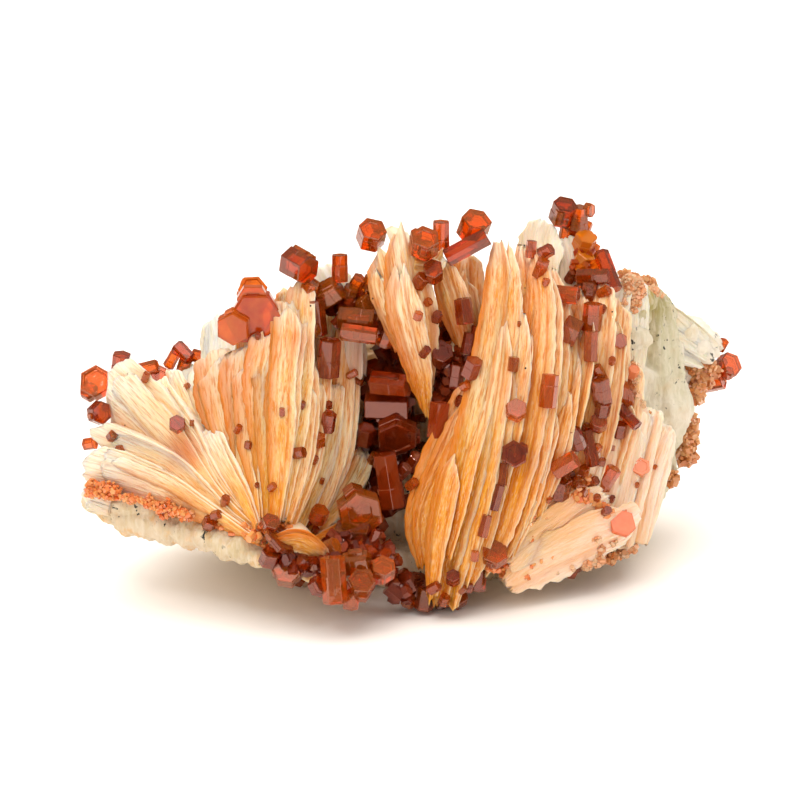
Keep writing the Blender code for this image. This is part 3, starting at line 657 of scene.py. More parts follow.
RIGHT_FEATHERS = (
    Blade(15.0, -16.0, ((424, 572, 12, -7), (424, 515, 34, -6), (452, 440, 38, -3), (486, 352, 26, 1))),
    Blade(15.0, -14.0, ((438, 609, 10, -9), (446, 545, 30, -8), (474, 430, 34, -6), (493, 320, 28, 0),
                        (499, 233, 16, 7))),
    Blade(15.0, -12.0, ((449, 609, 11, -9), (463, 543, 30, -8), (494, 425, 34, -6), (507, 315, 28, 0),
                        (508, 238, 17, 7))),
    Blade(15.0, -12.0, ((465, 592, 11, -8), (484, 532, 30, -7), (512, 412, 34, -5), (524, 315, 28, 0),
                        (521, 236, 20, 8))),
    Blade(15.0, -12.0, ((479, 574, 11, -7), (503, 515, 30, -7), (529, 405, 34, -5), (539, 310, 28, 0),
                        (533, 243, 18, 8))),
    Blade(15.0, -10.0, ((500, 562, 13, -6), (524, 495, 32, -6), (546, 398, 34, -4), (553, 315, 28, 1),
                        (549, 256, 19, 8))),
    Blade(14.0, -10.0, ((524, 530, 16, -4.4), (545, 468, 30, -4), (564, 380, 32, -2), (568, 284, 22, 5))),
    Blade(14.0, -8.0, ((552, 500, 18, -2.3), (567, 425, 30, -1.6), (583, 335, 28, 2), (581, 276, 20, 7))),
    Blade(13.0, -6.0, ((568, 502, 20, -1), (586, 420, 30, 0.4), (600, 330, 28, 3), (598, 280, 20, 8))),
    Blade(12.0, -4.0, ((586, 500, 24, 0.3), (606, 415, 32, 2.4), (617, 330, 30, 6), (618, 290, 20, 9))),
    Blade(12.0, -4.0, ((600, 490, 24, 2.5), (622, 415, 32, 5), (632, 350, 20, 8))),
)
# Shorter feathers that lie in front of the long ones and end against them.
RIGHT_FRONT = (
    Blade(6.0, -14.0, ((432, 604, 10, -9.5), (440, 530, 24, -8.7), (456, 460, 24, -6.4), (480, 401, 10, -3))),
    Blade(6.0, -14.0, ((446, 560, 8, -9.0), (466, 470, 18, -7.5), (499, 352, 10, -2.5))),
    Blade(6.0, -12.0, ((462, 590, 8, -8.8), (480, 510, 20, -8.2), (510, 396, 10, -5))),
    Blade(6.0, -12.0, ((484, 560, 6, -7.4), (500, 490, 20, -7.5), (533, 408, 10, -5))),
    Blade(6.0, -10.0, ((494, 520, 6, -6.0), (513, 430, 16, -6.4), (532, 330, 8, -2))),
    Blade(6.0, -10.0, ((508, 560, 6, -6.0), (532, 480, 22, -6.3), (559, 400, 10, -3.6))),
    Blade(6.0, -10.0, ((532, 530, 6, -4.0), (556, 450, 22, -4.2), (579, 352, 10, 0.6))),
    Blade(6.0, -8.0, ((556, 490, 6, -2.4), (578, 400, 18, -1.4), (592, 312, 10, 2.6))),
)
RIGHT_FLANK = (
    Blade(12.0, 12.0, ((560, 545, 20, -3.4), (580, 490, 30, -1.4), (600, 440, 22, 0.6))),
    Blade(12.0, 12.0, ((580, 545, 26, -1.6), (602, 492, 34, 0.6), (618, 440, 26, 3), (628, 400, 16, 5))),
    Blade(12.0, 14.0, ((600, 552, 26, 0.6), (618, 500, 34, 2.4), (634, 440, 26, 5), (640, 402, 16, 7))),
    Blade(12.0, 14.0, ((618, 550, 26, 2), (630, 492, 34, 4), (648, 430, 28, 8), (655, 404, 18, 10))),
    Blade(11.0, 14.0, ((634, 545, 28, 4.5), (646, 490, 34, 7), (660, 440, 28, 11), (668, 422, 18, 12))),
)
# Broad plates that close the flank below, lying across its foot.
FLANK_PLATES = (
    Blade(9.0, 10.0, ((506, 588, 20, -7.6), (534, 566, 48, -6.4), (580, 543, 54, -3.8), (622, 525, 46, -1.0),
                      (648, 514, 30, 2))),
    Blade(9.0, 14.0, ((506, 568, 18, -7.6), (540, 538, 46, -5.6), (584, 510, 48, -2.4), (612, 494, 26, 0))),
    Blade(9.0, 14.0, ((514, 556, 18, -7.4), (545, 520, 44, -5.2), (574, 488, 40, -2.8))),
)
# Pale glassy blades at the back and at the ends of the fans.
ICY_BLADES = (
    Blade(12.0, -4.0, ((602, 350, 24, 8), (612, 300, 34, 11), (620, 272, 20, 13))),
    Blade(11.0, -12.0, ((200, 440, 16, 1), (197, 392, 32, 5), (199, 357, 30, 8))),
    Blade(11.0, -12.0, ((220, 420, 20, 0), (222, 354, 40, 6), (216, 312, 24, 9))),
    Blade(8.0, 0.0, ((112, 505, 24, -4), (92, 498, 30, -3.4), (78, 494, 26, -3))),
    Blade(12.0, 0.0, ((392, 330, 20, 7), (345, 300, 40, 9), (318, 258, 36, 11))),
    Blade(12.0, 4.0, ((630, 400, 20, 9), (634, 330, 30, 11), (636, 276, 26, 12))),
    Blade(10.0, 0.0, ((352, 380, 30, 4), (350, 320, 34, 6), (352, 282, 26, 9))),
    Blade(5.0, 0.0, ((664, 308, 16, 22), (694, 333, 20, 24.6), (718, 353, 12, 27))),
    Blade(5.0, 0.0, ((672, 332, 12, 22.5), (696, 346, 16, 25), (717, 361, 8, 27.5))),
    Blade(5.0, 0.0, ((666, 350, 18, 21.5), (686, 354, 20, 24), (706, 364, 10, 27))),
)

# Angular blades behind the highest crystals.
SUMMIT_BLADES = (
    Blade(13.0, -6.0, ((540, 300, 24, 8), (538, 262, 44, 10.5), (538, 238, 38, 12.4), (545, 214, 18, 13.4))),
    Blade(13.0, 12.0, ((570, 315, 22, 8), (568, 262, 26, 11), (564, 232, 16, 13))),
)

# Vanadinite: (column, row, diameter, length, lean, facing, spin, back). The first four are grid
# steps. Lean turns the axis clockwise from upright and facing turns it towards the station, in
# degrees. Back is mm behind DATUM, or None for a crystal that sits on what is seen there.
CrystalRow = tuple[float, float, float, float, float, float, float, float | None]
CRYSTALS: dict[str, tuple[CrystalRow, ...]] = {
    "left_tip": (
        (97, 383, 35, 14, -30, 68, 5, 6.0),
        (121, 364, 21, 22, 5, 25, 20, 6.0),
        (99, 413, 25, 13, 90, 58, 0, 2.5),
        (90, 444, 14, 12, 80, 30, 10, 1.0),
        (146, 369, 15, 25, 76, 15, 0, 7.0),
        (161, 378, 24, 12, 20, 75, 0, 7.0),
        (177, 424, 18, 11, 0, 72, 0, None),
    ),
    "left_crest": (
        (183, 352, 15, 20, 135, 15, 10, 8.0),
        (202, 358, 15, 21, 105, 20, 0, 8.5),
        (184, 368, 16, 19, 15, 30, 0, 8.0),
        (172, 360, 12, 17, 30, 20, 0, 9.0),
        (213, 354, 11, 11, 40, 20, 0, 10.0),
        (214, 341, 24, 11, -45, 50, 0, 8.5),
    ),
    "left_plate": (
        (255, 317, 56, 17, 180, 70, 30, 1.0),
        (234, 327, 36, 15, 205, 66, 0, 0.0),
        (252, 291, 31, 12, 15, 60, 30, 5.0),
    ),
    "upper_cluster": (
        (299, 266, 34, 28, 120, 38, 0, 3.0),
        (340, 268, 19, 27, 0, 10, 0, 5.0),
        (328, 293, 30, 26, 60, 18, 15, 4.0),
        (308, 291, 20, 23, 20, 30, 0, 3.0),
        (303, 307, 12, 14, 110, 20, 0, 2.0),
        (317, 317, 19, 37, -6, 16, 10, 2.0),
        (349, 295, 17, 20, 20, 30, 0, 5.0),
        (357, 282, 15, 13, 30, 40, 0, 6.0),
        (370, 282, 14, 13, 10, 25, 0, 6.0),
        (366, 305, 21, 13, 80, 55, 0, 4.0),
        (364, 291, 12, 14, 50, 30, 0, 6.0),
        (376, 309, 16, 22, 10, 20, 0, 4.0),
        (357, 318, 25, 36, 95, 10, 20, 3.0),
        (359, 334, 19, 36, 98, 8, 0, 1.0),
        (312, 330, 18, 10, -30, 40, 0, 1.0),
        (386, 338, 16, 18, 20, 20, 0, 4.0),
        (329, 358, 24, 38, 4, 16, 15, 0.0),
    ),
    "top_left": ((371, 235, 29, 23, 15, 55, 10, 6.0),),
    "top_centre": (
        (424, 243, 31, 22, 10, 55, 0, 2.0),
        (441, 236, 19, 30, 0, 15, 0, 6.0),
        (433, 272, 22, 16, 0, 60, 10, 1.0),
        (420, 281, 15, 14, 40, 30, 0, 1.0),
    ),
    "top_right": (
        (474, 227, 32, 23, 20, 40, 0, 6.8),
        (467, 247, 21, 46, 62, 5, 15, 5.0),
        (464, 311, 20, 25, -8, 8, 10, None),
    ),
    "hollow_side": (
        (479, 341, 19, 31, 4, 8, 0, 2.0),
        (469, 343, 14, 21, 10, 10, 15, None),
        (472, 368, 19, 19, 20, 30, 0, None),
        (456, 376, 16, 26, 8, 20, 0, 2.0),
        (437, 403, 16, 20, 10, 40, 0, 2.0),
        (439, 420, 23, 36, 5, 8, 12, -1.0),
        (414, 462, 17, 17, 30, 35, 0, 2.0),
        (431, 333, 18, 16, 20, 65, 0, 3.0),
        (441, 355, 25, 18, 20, 62, 0, 2.0),
    ),
    "hollow_crust": (
        (391, 384, 27, 38, 96, 22, 15, 2.2),
        (388, 406, 32, 44, 92, 8, 0, 4.4),
        (397, 435, 46, 17, 178, 48, 0, 2.6),
        (365, 435, 19, 21, 10, 40, 0, 2.6),
        (389, 481, 27, 55, -9, 10, 12, -1.6),
        (403, 471, 14, 14, 45, 30, 0, -1.0),
    ),
    "hollow_foot": (
        (359, 511, 49, 20, 160, 66, 10, -6.0),
        (355, 536, 34, 34, 92, 16, 0, -6.0),
        (332, 548, 19, 13, 60, 30, 0, -12.0),
        (319, 515, 19, 15, 20, 40, 0, -7.0),
    ),
    "lower_left": (
        (280, 539, 36, 7, 48, 30, 0, -14.0),
        (270, 524, 20, 13, 30, 50, 0, -13.6),
        (270, 557, 21, 17, 20, 40, 0, -14.5),
        (287, 573, 28, 16, 0, 68, 20, -14.5),
        (319, 586, 22, 12, 60, 38, 0, -16.0),
        (334, 580, 25, 46, -4, 8, 12, -16.5),
        (351, 600, 17, 17, 5, 20, 0, -15.8),
        (361, 584, 30, 17, 15, 62, 20, -15.5),
        (357, 564, 28, 26, 82, 16, 0, -13.0),
        (383, 570, 26, 17, 10, 55, 0, -13.0),
    ),
    "front_foot": (
        (416, 588, 23, 26, 0, 26, 10, -5.0),
        (425, 599, 19, 22, 10, 18, 0, -8.0),
        (409, 600, 14, 14, 20, 20, 0, -7.5),
        (457, 604, 22, 15, 15, 62, 0, -6.5),
    ),
    "fan_foot": (
        (453, 578, 16, 12, 0, 60, 0, None),
        (479, 580, 15, 22, 6, 10, 0, -7.0),
        (495, 554, 29, 11, 5, 58, 0, None),
        (571, 570, 15, 13, 30, 30, 0, 0.0),
        (580, 565, 13, 13, 60, 40, 0, 0.0),
    ),
    "fan_face": (
        (514, 454, 28, 13, 0, 84, 0, None),
        (503, 474, 10, 22, 6, 6, 0, None),
        (496, 497, 14, 26, 16, 8, 0, None),
        (485, 526, 12, 22, 14, 12, 0, None),
        (516, 410, 23, 13, 10, 66, 0, None),
        (549, 391, 18, 33, 6, 6, 0, None),
        (513, 364, 11, 14, 8, 10, 0, None),
    ),
    "summit": (
        (563, 212, 27, 23, 15, 40, 0, 13.0),
        (579, 218, 19, 24, 5, 20, 0, 13.0),
        (589, 210, 15, 8, 100, 30, 0, 13.0),
        (608, 271, 16, 44, 160, 22, 0, 8.0),
        (593, 277, 17, 32, 88, 15, 0, 7.0),
        (589, 294, 15, 24, 4, 10, 0, 6.0),
        (562, 294, 20, 34, 96, 14, 12, 3.0),
        (541, 268, 15, 19, 20, 30, 0, None),
        (546, 252, 14, 14, 60, 25, 0, 4.5),
        (566, 234, 15, 24, 8, 20, 0, 13.5),
        (531, 249, 11, 17, 6, 12, 0, 6.0),
        (581, 286, 10, 13, 0, 20, 0, 7.5),
    ),
    "summit_amber": (
        (584, 243, 24, 20, 20, 40, 0, 12.0),
        (583, 261, 21, 18, 30, 30, 0, 11.0),
        (594, 266, 12, 14, 60, 30, 0, 10.0),
    ),
    "right_crevice": (
        (592, 317, 20, 28, 4, 12, 10, None),
        (571, 331, 31, 17, 115, 2, 0, None),
        (591, 346, 16, 30, 2, 8, 12, None),
        (620, 341, 16, 6, 0, 80, 0, None),
        (599, 372, 11, 14, -30, 20, 0, None),
        (601, 391, 21, 28, -8, 24, 0, None),
        (622, 393, 31, 20, 195, 58, 0, 5.0),
        (603, 409, 16, 15, 10, 30, 0, None),
        (629, 417, 13, 27, 138, 22, 0, None),
        (599, 423, 19, 13, 10, 62, 0, None),
        (620, 430, 14, 15, 10, 30, 0, None),
        (576, 439, 15, 22, -20, 20, 0, None),
        (590, 448, 14, 37, -12, 8, 0, None),
        (565, 465, 21, 26, 58, 16, 15, None),
        (561, 487, 21, 24, 10, 40, 0, None),
        (575, 486, 19, 20, 50, 30, 0, None),
        (608, 478, 17, 25, 32, 20, 0, None),
    ),
    "right_flank": (
        (641, 467, 20, 7, 10, 74, 0, None),
        (623, 524, 28, 8, 20, 72, 10, None),
        (633, 373, 12, 14, 20, 50, 0, None),
    ),
    "right_arm": (
        (728, 366, 27, 16, 60, 52, 0, 31.0),
        (722, 345, 12, 12, 30, 40, 0, 31.0),
        (713, 382, 20, 24, 80, 25, 0, 30.0),
        (700, 372, 16, 18, 30, 30, 0, 28.0),
    ),
}

# Small crystals scattered over the faces of the blades: (column, row, size, lean, facing).
SCATTERED = (
    (146, 377, 8, 20, 40), (187, 386, 6, 60, 30), (192, 423, 5, 0, 20), (120, 449, 8, 80, 40),
    (112, 436, 11, 40, 50), (225, 501, 10, 20, 60), (238, 429, 7, 30, 40), (248, 445, 8, 10, 20), (272, 487, 8, 50, 30),
    (257, 485, 5, 10, 40), (322, 481, 5, 20, 30), (282, 412, 6, 0, 20), (302, 405, 7, 20, 30),
    (329, 405, 8, 0, 50), (328, 422, 15, 10, 30), (319, 440, 14, 0, 40), (299, 453, 12, 80, 30),
    (315, 460, 7, 20, 50), (258, 336, 6, 10, 40), (355, 290, 8, 20, 30), (352, 374, 8, 60, 20),
    (358, 381, 8, 120, 20), (364, 387, 6, 120, 30), (423, 418, 8, 10, 30), (210, 522, 15, 30, 60),
    (216, 515, 10, 70, 40), (469, 588, 8, 10, 20), (463, 590, 7, 50, 30), (475, 556, 9, 5, 20),
    (315, 531, 8, 20, 40), (308, 523, 8, 60, 30), (532, 245, 6, 0, 30),
    (546, 282, 8, 10, 20), (612, 361, 8, 10, 60), (586, 429, 9, 20, 40), (597, 449, 9, 40, 30),
    (612, 448, 6, 10, 10), (637, 485, 5, 10, 60), (655, 467, 5, 30, 50), (519, 324, 4, 0, 40),
    (597, 498, 8, 20, 50), (606, 511, 10, 60, 60), (549, 500, 6, 30, 50), (612, 499, 6, 20, 50),
    (376, 553, 12, 40, 30), (389, 556, 10, 100, 30), (343, 528, 10, 60, 40), (302, 561, 13, 20, 50),
    (315, 566, 12, 80, 30), (300, 583, 12, 40, 50), (371, 545, 10, 20, 20), (434, 588, 11, 60, 30),
    (444, 600, 12, 20, 40), (402, 575, 12, 60, 40), (396, 586, 11, 10, 30), (469, 600, 9, 70, 30),
    (373, 459, 12, 30, 40), (385, 452, 10, 80, 30), (372, 487, 12, 20, 50), (412, 484, 10, 50, 40),
    (404, 455, 11, 30, 60), (421, 446, 9, 80, 40), (418, 316, 10, 20, 30), (428, 302, 9, 60, 30),
    (437, 317, 11, 20, 50), (425, 352, 10, 40, 40), (448, 341, 9, 20, 30), (452, 357, 9, 0, 30),
    (452, 392, 10, 20, 30), (465, 386, 10, 60, 40), (447, 369, 9, 100, 30), (459, 401, 9, 20, 40),
    (571, 276, 12, 30, 40), (604, 292, 11, 60, 30), (577, 290, 10, 110, 30), (602, 309, 9, 20, 40),
    (573, 443, 9, 40, 40), (584, 471, 11, 10, 50), (593, 482, 10, 60, 40), (570, 476, 9, 20, 60),
    (583, 493, 9, 100, 30), (602, 462, 8, 10, 30),
)

# Where the golden, rusty and blushing patches lie: (column, row, radius in grid steps, strength).
GOLD_SPOTS = (
    (470, 500, 90, 1.0), (515, 480, 80, 1.0), (448, 585, 60, 1.0), (515, 300, 90, 0.6), (292, 440, 48, 0.6),
    (310, 390, 50, 0.55), (262, 510, 60, 0.9), (200, 500, 50, 0.5), (425, 400, 40, 0.9), (315, 550, 40, 1.0),
    (560, 400, 80, 0.7), (300, 330, 34, 0.5),
)
RUST_SPOTS = (
    (265, 535, 26, 0.5), (185, 450, 20, 0.6), (300, 345, 18, 0.4), (455, 330, 22, 0.5), (555, 470, 26, 0.35),
    (128, 495, 26, 0.35), (180, 515, 26, 0.4), (375, 360, 30, 0.6), (515, 385, 20, 0.35), (525, 300, 55, 0.18),
)
BLUSH_SPOTS = (
    (232, 372, 36, 0.8),
    (590, 520, 75, 0.9), (640, 450, 50, 0.9), (228, 368, 42, 0.55), (100, 500, 40, 0.7), (560, 330, 60, 0.4), (350, 350, 40, 0.5),
)


def spot_field(points: np.ndarray, spots: tuple[tuple[float, float, float, float], ...]) -> np.ndarray:
    """How strongly a set of soft round patches reaches each point.

    Args:
        points: Points of a piece.
        spots: Patches as (column, row, radius, strength).

    Returns:
        Values from 0 to 1.
    """
    columns, rows = grid_of(points)
    total = np.zeros(len(points))
    for column, row, radius, strength in spots:
        distance = np.hypot(columns - column, rows - row) / radius
        total = np.maximum(total, strength * np.exp(-distance * distance))
    return np.clip(total, 0.0, 1.0)


@dataclass
class BariteSheets:
    """Makes the sheets of barite blades and gathers them for one piece."""

    columns: int = 22
    row_length: float = 0.4
    parts: MeshParts = field(default_factory=MeshParts)

    def smooth_path(self, blade: Blade, count: int) -> tuple[np.ndarray, np.ndarray]:
        """Curve through a blade's stations.

        Args:
            blade: The blade.
            count: How many places to read along it.

        Returns:
            The points, and the breadth at each in millimetres.
        """
        knots = np.array([front_point(c, r, b) for c, r, _, b in blade.stations])
        breadths = np.array([w * GRID_STEP / MM for _, _, w, _ in blade.stations])
        table = np.column_stack([knots, breadths])
        ends = np.vstack([2 * table[0] - table[1], table, 2 * table[-1] - table[-2]])
        place = np.linspace(0.0, len(knots) - 1.0, count)
        index = np.minimum(place.astype(int), len(knots) - 2)
        part = (place - index)[:, None]
        before, start, end, after = (ends[index + shift] for shift in range(4))
        curve = 0.5 * (
            2 * start
            + (end - before) * part
            + (2 * before - 5 * start + 4 * end - after) * part**2
            + (3 * start - before - 3 * end + after) * part**3
        )
        return curve[:, :3], curve[:, 3]

    def sheet(self, blade: Blade, rule: SheetRule, level: int, seed: int) -> None:
        """Make one sheet of a blade as a closed wedge with a grained, toothed front.

        Args:
            blade: The blade.
            rule: How its habit splits it.
            level: Which sheet, counted from the front.
            seed: Seed of its random draws.
        """
        draw = np.random.default_rng(seed)
        length = sum(
            np.linalg.norm(front_point(a[0], a[1], a[3]) - front_point(b[0], b[1], b[3]))
            for a, b in zip(blade.stations, blade.stations[1:])
        ) / MM
        rows = max(14, int(length / self.row_length))
        path, breadth = self.smooth_path(blade, rows)
        along_mm = np.linspace(0.0, length, rows)
        tangent = unit(np.gradient(path, axis=0))
        lean = np.array((draw.uniform(-0.06, 0.06), 1.0, draw.uniform(-0.05, 0.08)))
        inward = unit(lean - tangent * (tangent @ lean)[:, None])
        across = np.cross(inward, tangent)
        turn = math.radians(blade.turn + draw.uniform(-5.0, 5.0))
        face = across * math.cos(turn) + inward * math.sin(turn)
        side = draw.choice((-1.0, 1.0))
        half = breadth * rule.breadth * (1.0 - 0.22 * level) / 2.0
        half = half * (1.0 + 0.08 * ripple(along_mm, 5.0, draw))
        middle = side * level * rule.step_across * half + 0.10 * half * ripple(along_mm, 6.0, draw)
        last = 1.0 if level == 0 else draw.uniform(rule.shortest, 0.97)

        share = np.linspace(-1.0, 1.0, self.columns)
        place_v, place_u = np.meshgrid(np.linspace(0.0, 1.0, rows), share, indexing="ij")
        crown = draw.uniform(-0.4, 0.4)
        tip_half = float(half[-1])
        comb = 0.6 * ripple(share * tip_half, 0.9, draw) + 0.5 * ripple(share * tip_half, 0.3, draw)
        drop = rule.tip_round * tip_half * np.abs(share - crown) ** 1.6
        tip = last - (drop + rule.tip_teeth * (0.5 + 0.5 * comb)) / length
        tip = np.clip(tip, 0.3, 1.0)
        root = 0.03 * (1.0 + ripple(share * half.mean(), 0.5, draw))
        reach = root[None, :] + place_v * (tip - root)[None, :]
        row_place = reach * (rows - 1)
        low = np.clip(row_place.astype(int), 0, rows - 2)
        part = (row_place - low)[..., None]

        def read(values: np.ndarray) -> np.ndarray:
            """Values along the path, read at every point of the front."""
            shaped = values if values.ndim == 2 else values[:, None]
            return shaped[low] * (1.0 - part) + shaped[low + 1] * part

        along = reach * length
        toothed = []
        for _ in range(2):
            saw = (along_mm * draw.uniform(0.45, 0.7) + draw.uniform(0.0, 1.0)) % 1.0
            ragged = 0.7 * ripple(along_mm, 1.1, draw) + 0.5 * ripple(along_mm, 0.45, draw)
            patchy = 0.5 + 0.5 * ripple(along_mm, 4.0, draw)
            toothed.append(1.0 - rule.ragged * (1.2 * patchy * saw + ragged))
        edge = np.where(place_u < 0.0, read(toothed[0])[..., 0], read(toothed[1])[..., 0])
        spread = np.abs(place_u) ** 4
        halves = read(half)[..., 0]
        point = rule.point_share * (1.0 + 0.5 * level)
        halves = halves * np.clip((1.03 - place_v) / max(point, 0.03), 0.12, 1.0) ** rule.point_power
        x_mm = place_u * halves * (1.0 - spread + spread * edge)
        grained = grain_field(x_mm, along, draw)
        depth_mm = rule.bulge * halves * 2.0 * np.abs(place_u) ** 2.0 - rule.grain * grained
        curl = np.clip(place_u - 0.45, 0.0, 1.0) / 0.55
        depth_mm = depth_mm - rule.lip * halves * 2.0 * curl * curl
        terrace_drift = 0.5 * ripple(along, 7.0, draw)
        # Near the foot of each ledge a mask is kept, where the finish paints ochre shade in the crevice.
        crease_shade = np.zeros_like(place_u)
        for cut in np.sort(draw.uniform(-0.8, 0.8, rule.terraces)):
            over = (place_u + 0.25 * terrace_drift / np.maximum(halves, 0.2) - cut) / 0.035
            depth_mm = depth_mm + rule.ledge * side / (1.0 + np.exp(-np.clip(over, -30.0, 30.0)))
            crease_shade = np.maximum(crease_shade, np.exp(-((over - side * 1.5) ** 2) / 4.0))
        thin = np.clip((place_v - 0.8) / 0.2, 0.0, 1.0)
        depth_mm = depth_mm + 0.3 * thin * thin - rule.step_front * level
        front = (
            read(path)
            + read(face) * ((x_mm + read(middle)[..., 0]) * MM)[..., None]
            + read(inward) * (depth_mm * MM)[..., None]
        )

        back_share = np.array((-0.75, -0.5, 0.0, 0.5, 0.75))
        back_depth = np.array((0.25, 0.8, 1.0, 0.8, 0.25))
        depth = blade.depth if level == 0 else min(blade.depth, 4.0)
        reach_back = depth * (0.75 + 0.25 * np.sin(np.linspace(0.3, 2.6, rows)))
        reach_back = reach_back * (1.0 - 0.5 * np.clip(np.linspace(-1.2, 1.0, rows), 0.0, 1.0) ** 1.5)
        nearest = np.round((back_share + 1.0) / 2.0 * (self.columns - 1)).astype(int)
        taper = 1.0 - back_depth * 0.45
        anchor = front[:, nearest]
        core = (read(path) + read(face) * (read(middle) * MM))[:, nearest]
        wave = 0.25 * ripple(along_mm, 3.0, draw)[:, None]
        back = (
            core
            + (anchor - core) * taper[None, :, None]
            + read(inward)[:, nearest] * ((back_depth[None, :] * (reach_back[:, None] + wave)) * MM)[..., None]
        )
        ring = np.concatenate([front, back[:, ::-1]], axis=1)
        self.store(ring, x_mm, along, place_v, place_u, crease_shade, draw)

    def store(
        self,
        ring: np.ndarray,
        x_mm: np.ndarray,
        along: np.ndarray,
        place_v: np.ndarray,
        place_u: np.ndarray,
        crease_shade: np.ndarray,
        draw: np.random.Generator,
    ) -> None:
        """Close a sheet's rings and keep it with its attributes.

        Args:
            ring: Points by row and place round the section.
            x_mm: Place across the front in millimetres.
            along: Place along it in millimetres.
            place_v: Share of the length, from root to tip.
            place_u: Share across, from -1 to 1.
            crease_shade: How near each point is to the foot of a ledge, from 0 to 1.
            draw: Source of the sheet's tint.
        """
        rows, around = ring.shape[:2]
        points = ring.reshape(-1, 3)
        points[:, 2] = np.maximum(points[:, 2], FLOOR_CLEARANCE)
        faces = []
        for row in range(rows - 1):
            start, above = row * around, (row + 1) * around
            for place in range(around):
                following = (place + 1) % around
                faces.append((start + place, start + following, above + following, above + place))
        faces.append(tuple(range(around))[::-1])
        last = (rows - 1) * around
        faces.append(tuple(last + place for place in range(around)))
        extra = around - self.columns
        offset = draw.uniform(0.0, 50.0)
        tint = draw.uniform(0.0, 1.0)

        def padded(values: np.ndarray) -> np.ndarray:
            """Values of the front, carried on over the back of the ring."""
            rear = np.repeat(values[:, -1:], extra, axis=1)
            return np.concatenate([values, rear], axis=1).ravel()

        grain = np.column_stack([padded(x_mm) + offset, padded(along), np.full(len(points), tint)])
        # Painted highlight: strongest along the right rim and at the tip of each sheet.
        edge = np.clip(place_u, 0.0, 1.0) ** 6 * 0.8 + 0.5 * np.clip((place_v - 0.9) / 0.1, 0.0, 1.0)
        # Painted shade: the tucked-back left edge and the feet of the ledges, painted ochre by the finish.
        tuck_shade = np.maximum(np.clip((-0.25 - place_u) / 0.75, 0.0, 1.0), 0.8 * crease_shade)
        place = np.column_stack([padded(place_v), np.clip(padded(edge), 0.0, 1.0), padded(tuck_shade)])
        stain = np.column_stack(
            [spot_field(points, GOLD_SPOTS), spot_field(points, RUST_SPOTS), spot_field(points, BLUSH_SPOTS)]
        )
        self.parts.add(points, faces, grain=grain, place=place, stain=stain)

    def blades(self, group: tuple[Blade, ...], habit: Habit, seed: int) -> None:
        """Make every sheet of a group of blades.

        Args:
            group: The blades.
            habit: How their sheets lie.
            seed: Seed of the first one.
        """
        rule = SHEET_RULES[habit]
        for number, blade in enumerate(group):
            for level in range(rule.sheets):
                self.sheet(blade, rule, level, seed + 10 * number + level)


@dataclass
class BariteFan:
    """One visible group of barite blades."""

    name: str
    fan: Fan
    group: tuple[Blade, ...]
    habit: Habit
    seed: int

    def build(self, material: bpy.types.Material) -> bpy.types.Object:
        """Make the group's piece.

        Args:
            material: Its finish.

        Returns:
            The piece.
        """
        maker = BariteSheets()
        maker.blades(self.group, self.habit, self.seed)
        piece = maker.parts.build(self.name, material, smooth=True)
        return place_piece(piece, "barite", self.fan.value)


def place_piece(piece: bpy.types.Object, slot: str, *nodes: str) -> bpy.types.Object:
    """Attach a piece to the frame's root body and hide the CAD nodes that it stands for.

    Args:
        piece: The piece.
        slot: The record's material slot; not used.
        *nodes: CAD nodes that it stands for.

    Returns:
        The piece.
    """
    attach(piece, "root")
    if nodes:
        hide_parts(*nodes)
    PLACED.append(piece)
    LOG.info("%s: %d faces", piece.name, len(piece.data.polygons))
    return piece


def crystal_axis(lean: float, facing: float) -> np.ndarray:
    """Direction of a crystal's axis.

    Args:
        lean: Degrees clockwise from upright.
        facing: Degrees towards the station.

    Returns:
        Unit vector.
    """
    tilt = math.radians(lean)
    turn = math.radians(facing)
    flat = RIGHTWARD * math.sin(tilt) + UPWARD * math.cos(tilt)
    return flat * math.cos(turn) - INWARD * math.sin(turn)


def hexagon(radius: float, draw: random.Random) -> list[tuple[float, float]]:
    """Uneven hexagon with narrow corner facets, as twelve points.

    Args:
        radius: Distance of its corners.
        draw: Source of its unevenness.

    Returns:
        The points in order.
    """
    apothem = radius * math.cos(math.pi / 6.0)
    reach = [apothem * draw.uniform(0.93, 1.05) for _ in range(6)]
    corners = []
    for side in range(6):
        one, two = math.pi / 3.0 * side, math.pi / 3.0 * (side + 1)
        first, second = reach[side], reach[(side + 1) % 6]
        cross = math.sin(two - one)
        corners.append(
            (
                (first * math.sin(two) - second * math.sin(one)) / cross,
                (second * math.cos(one) - first * math.cos(two)) / cross,
            )
        )
    facet = 0.03
    ring = []
    for index, corner in enumerate(corners):
        for neighbour in (corners[index - 1], corners[(index + 1) % 6]):
            ring.append(tuple(a + (b - a) * facet for a, b in zip(corner, neighbour)))
    return ring


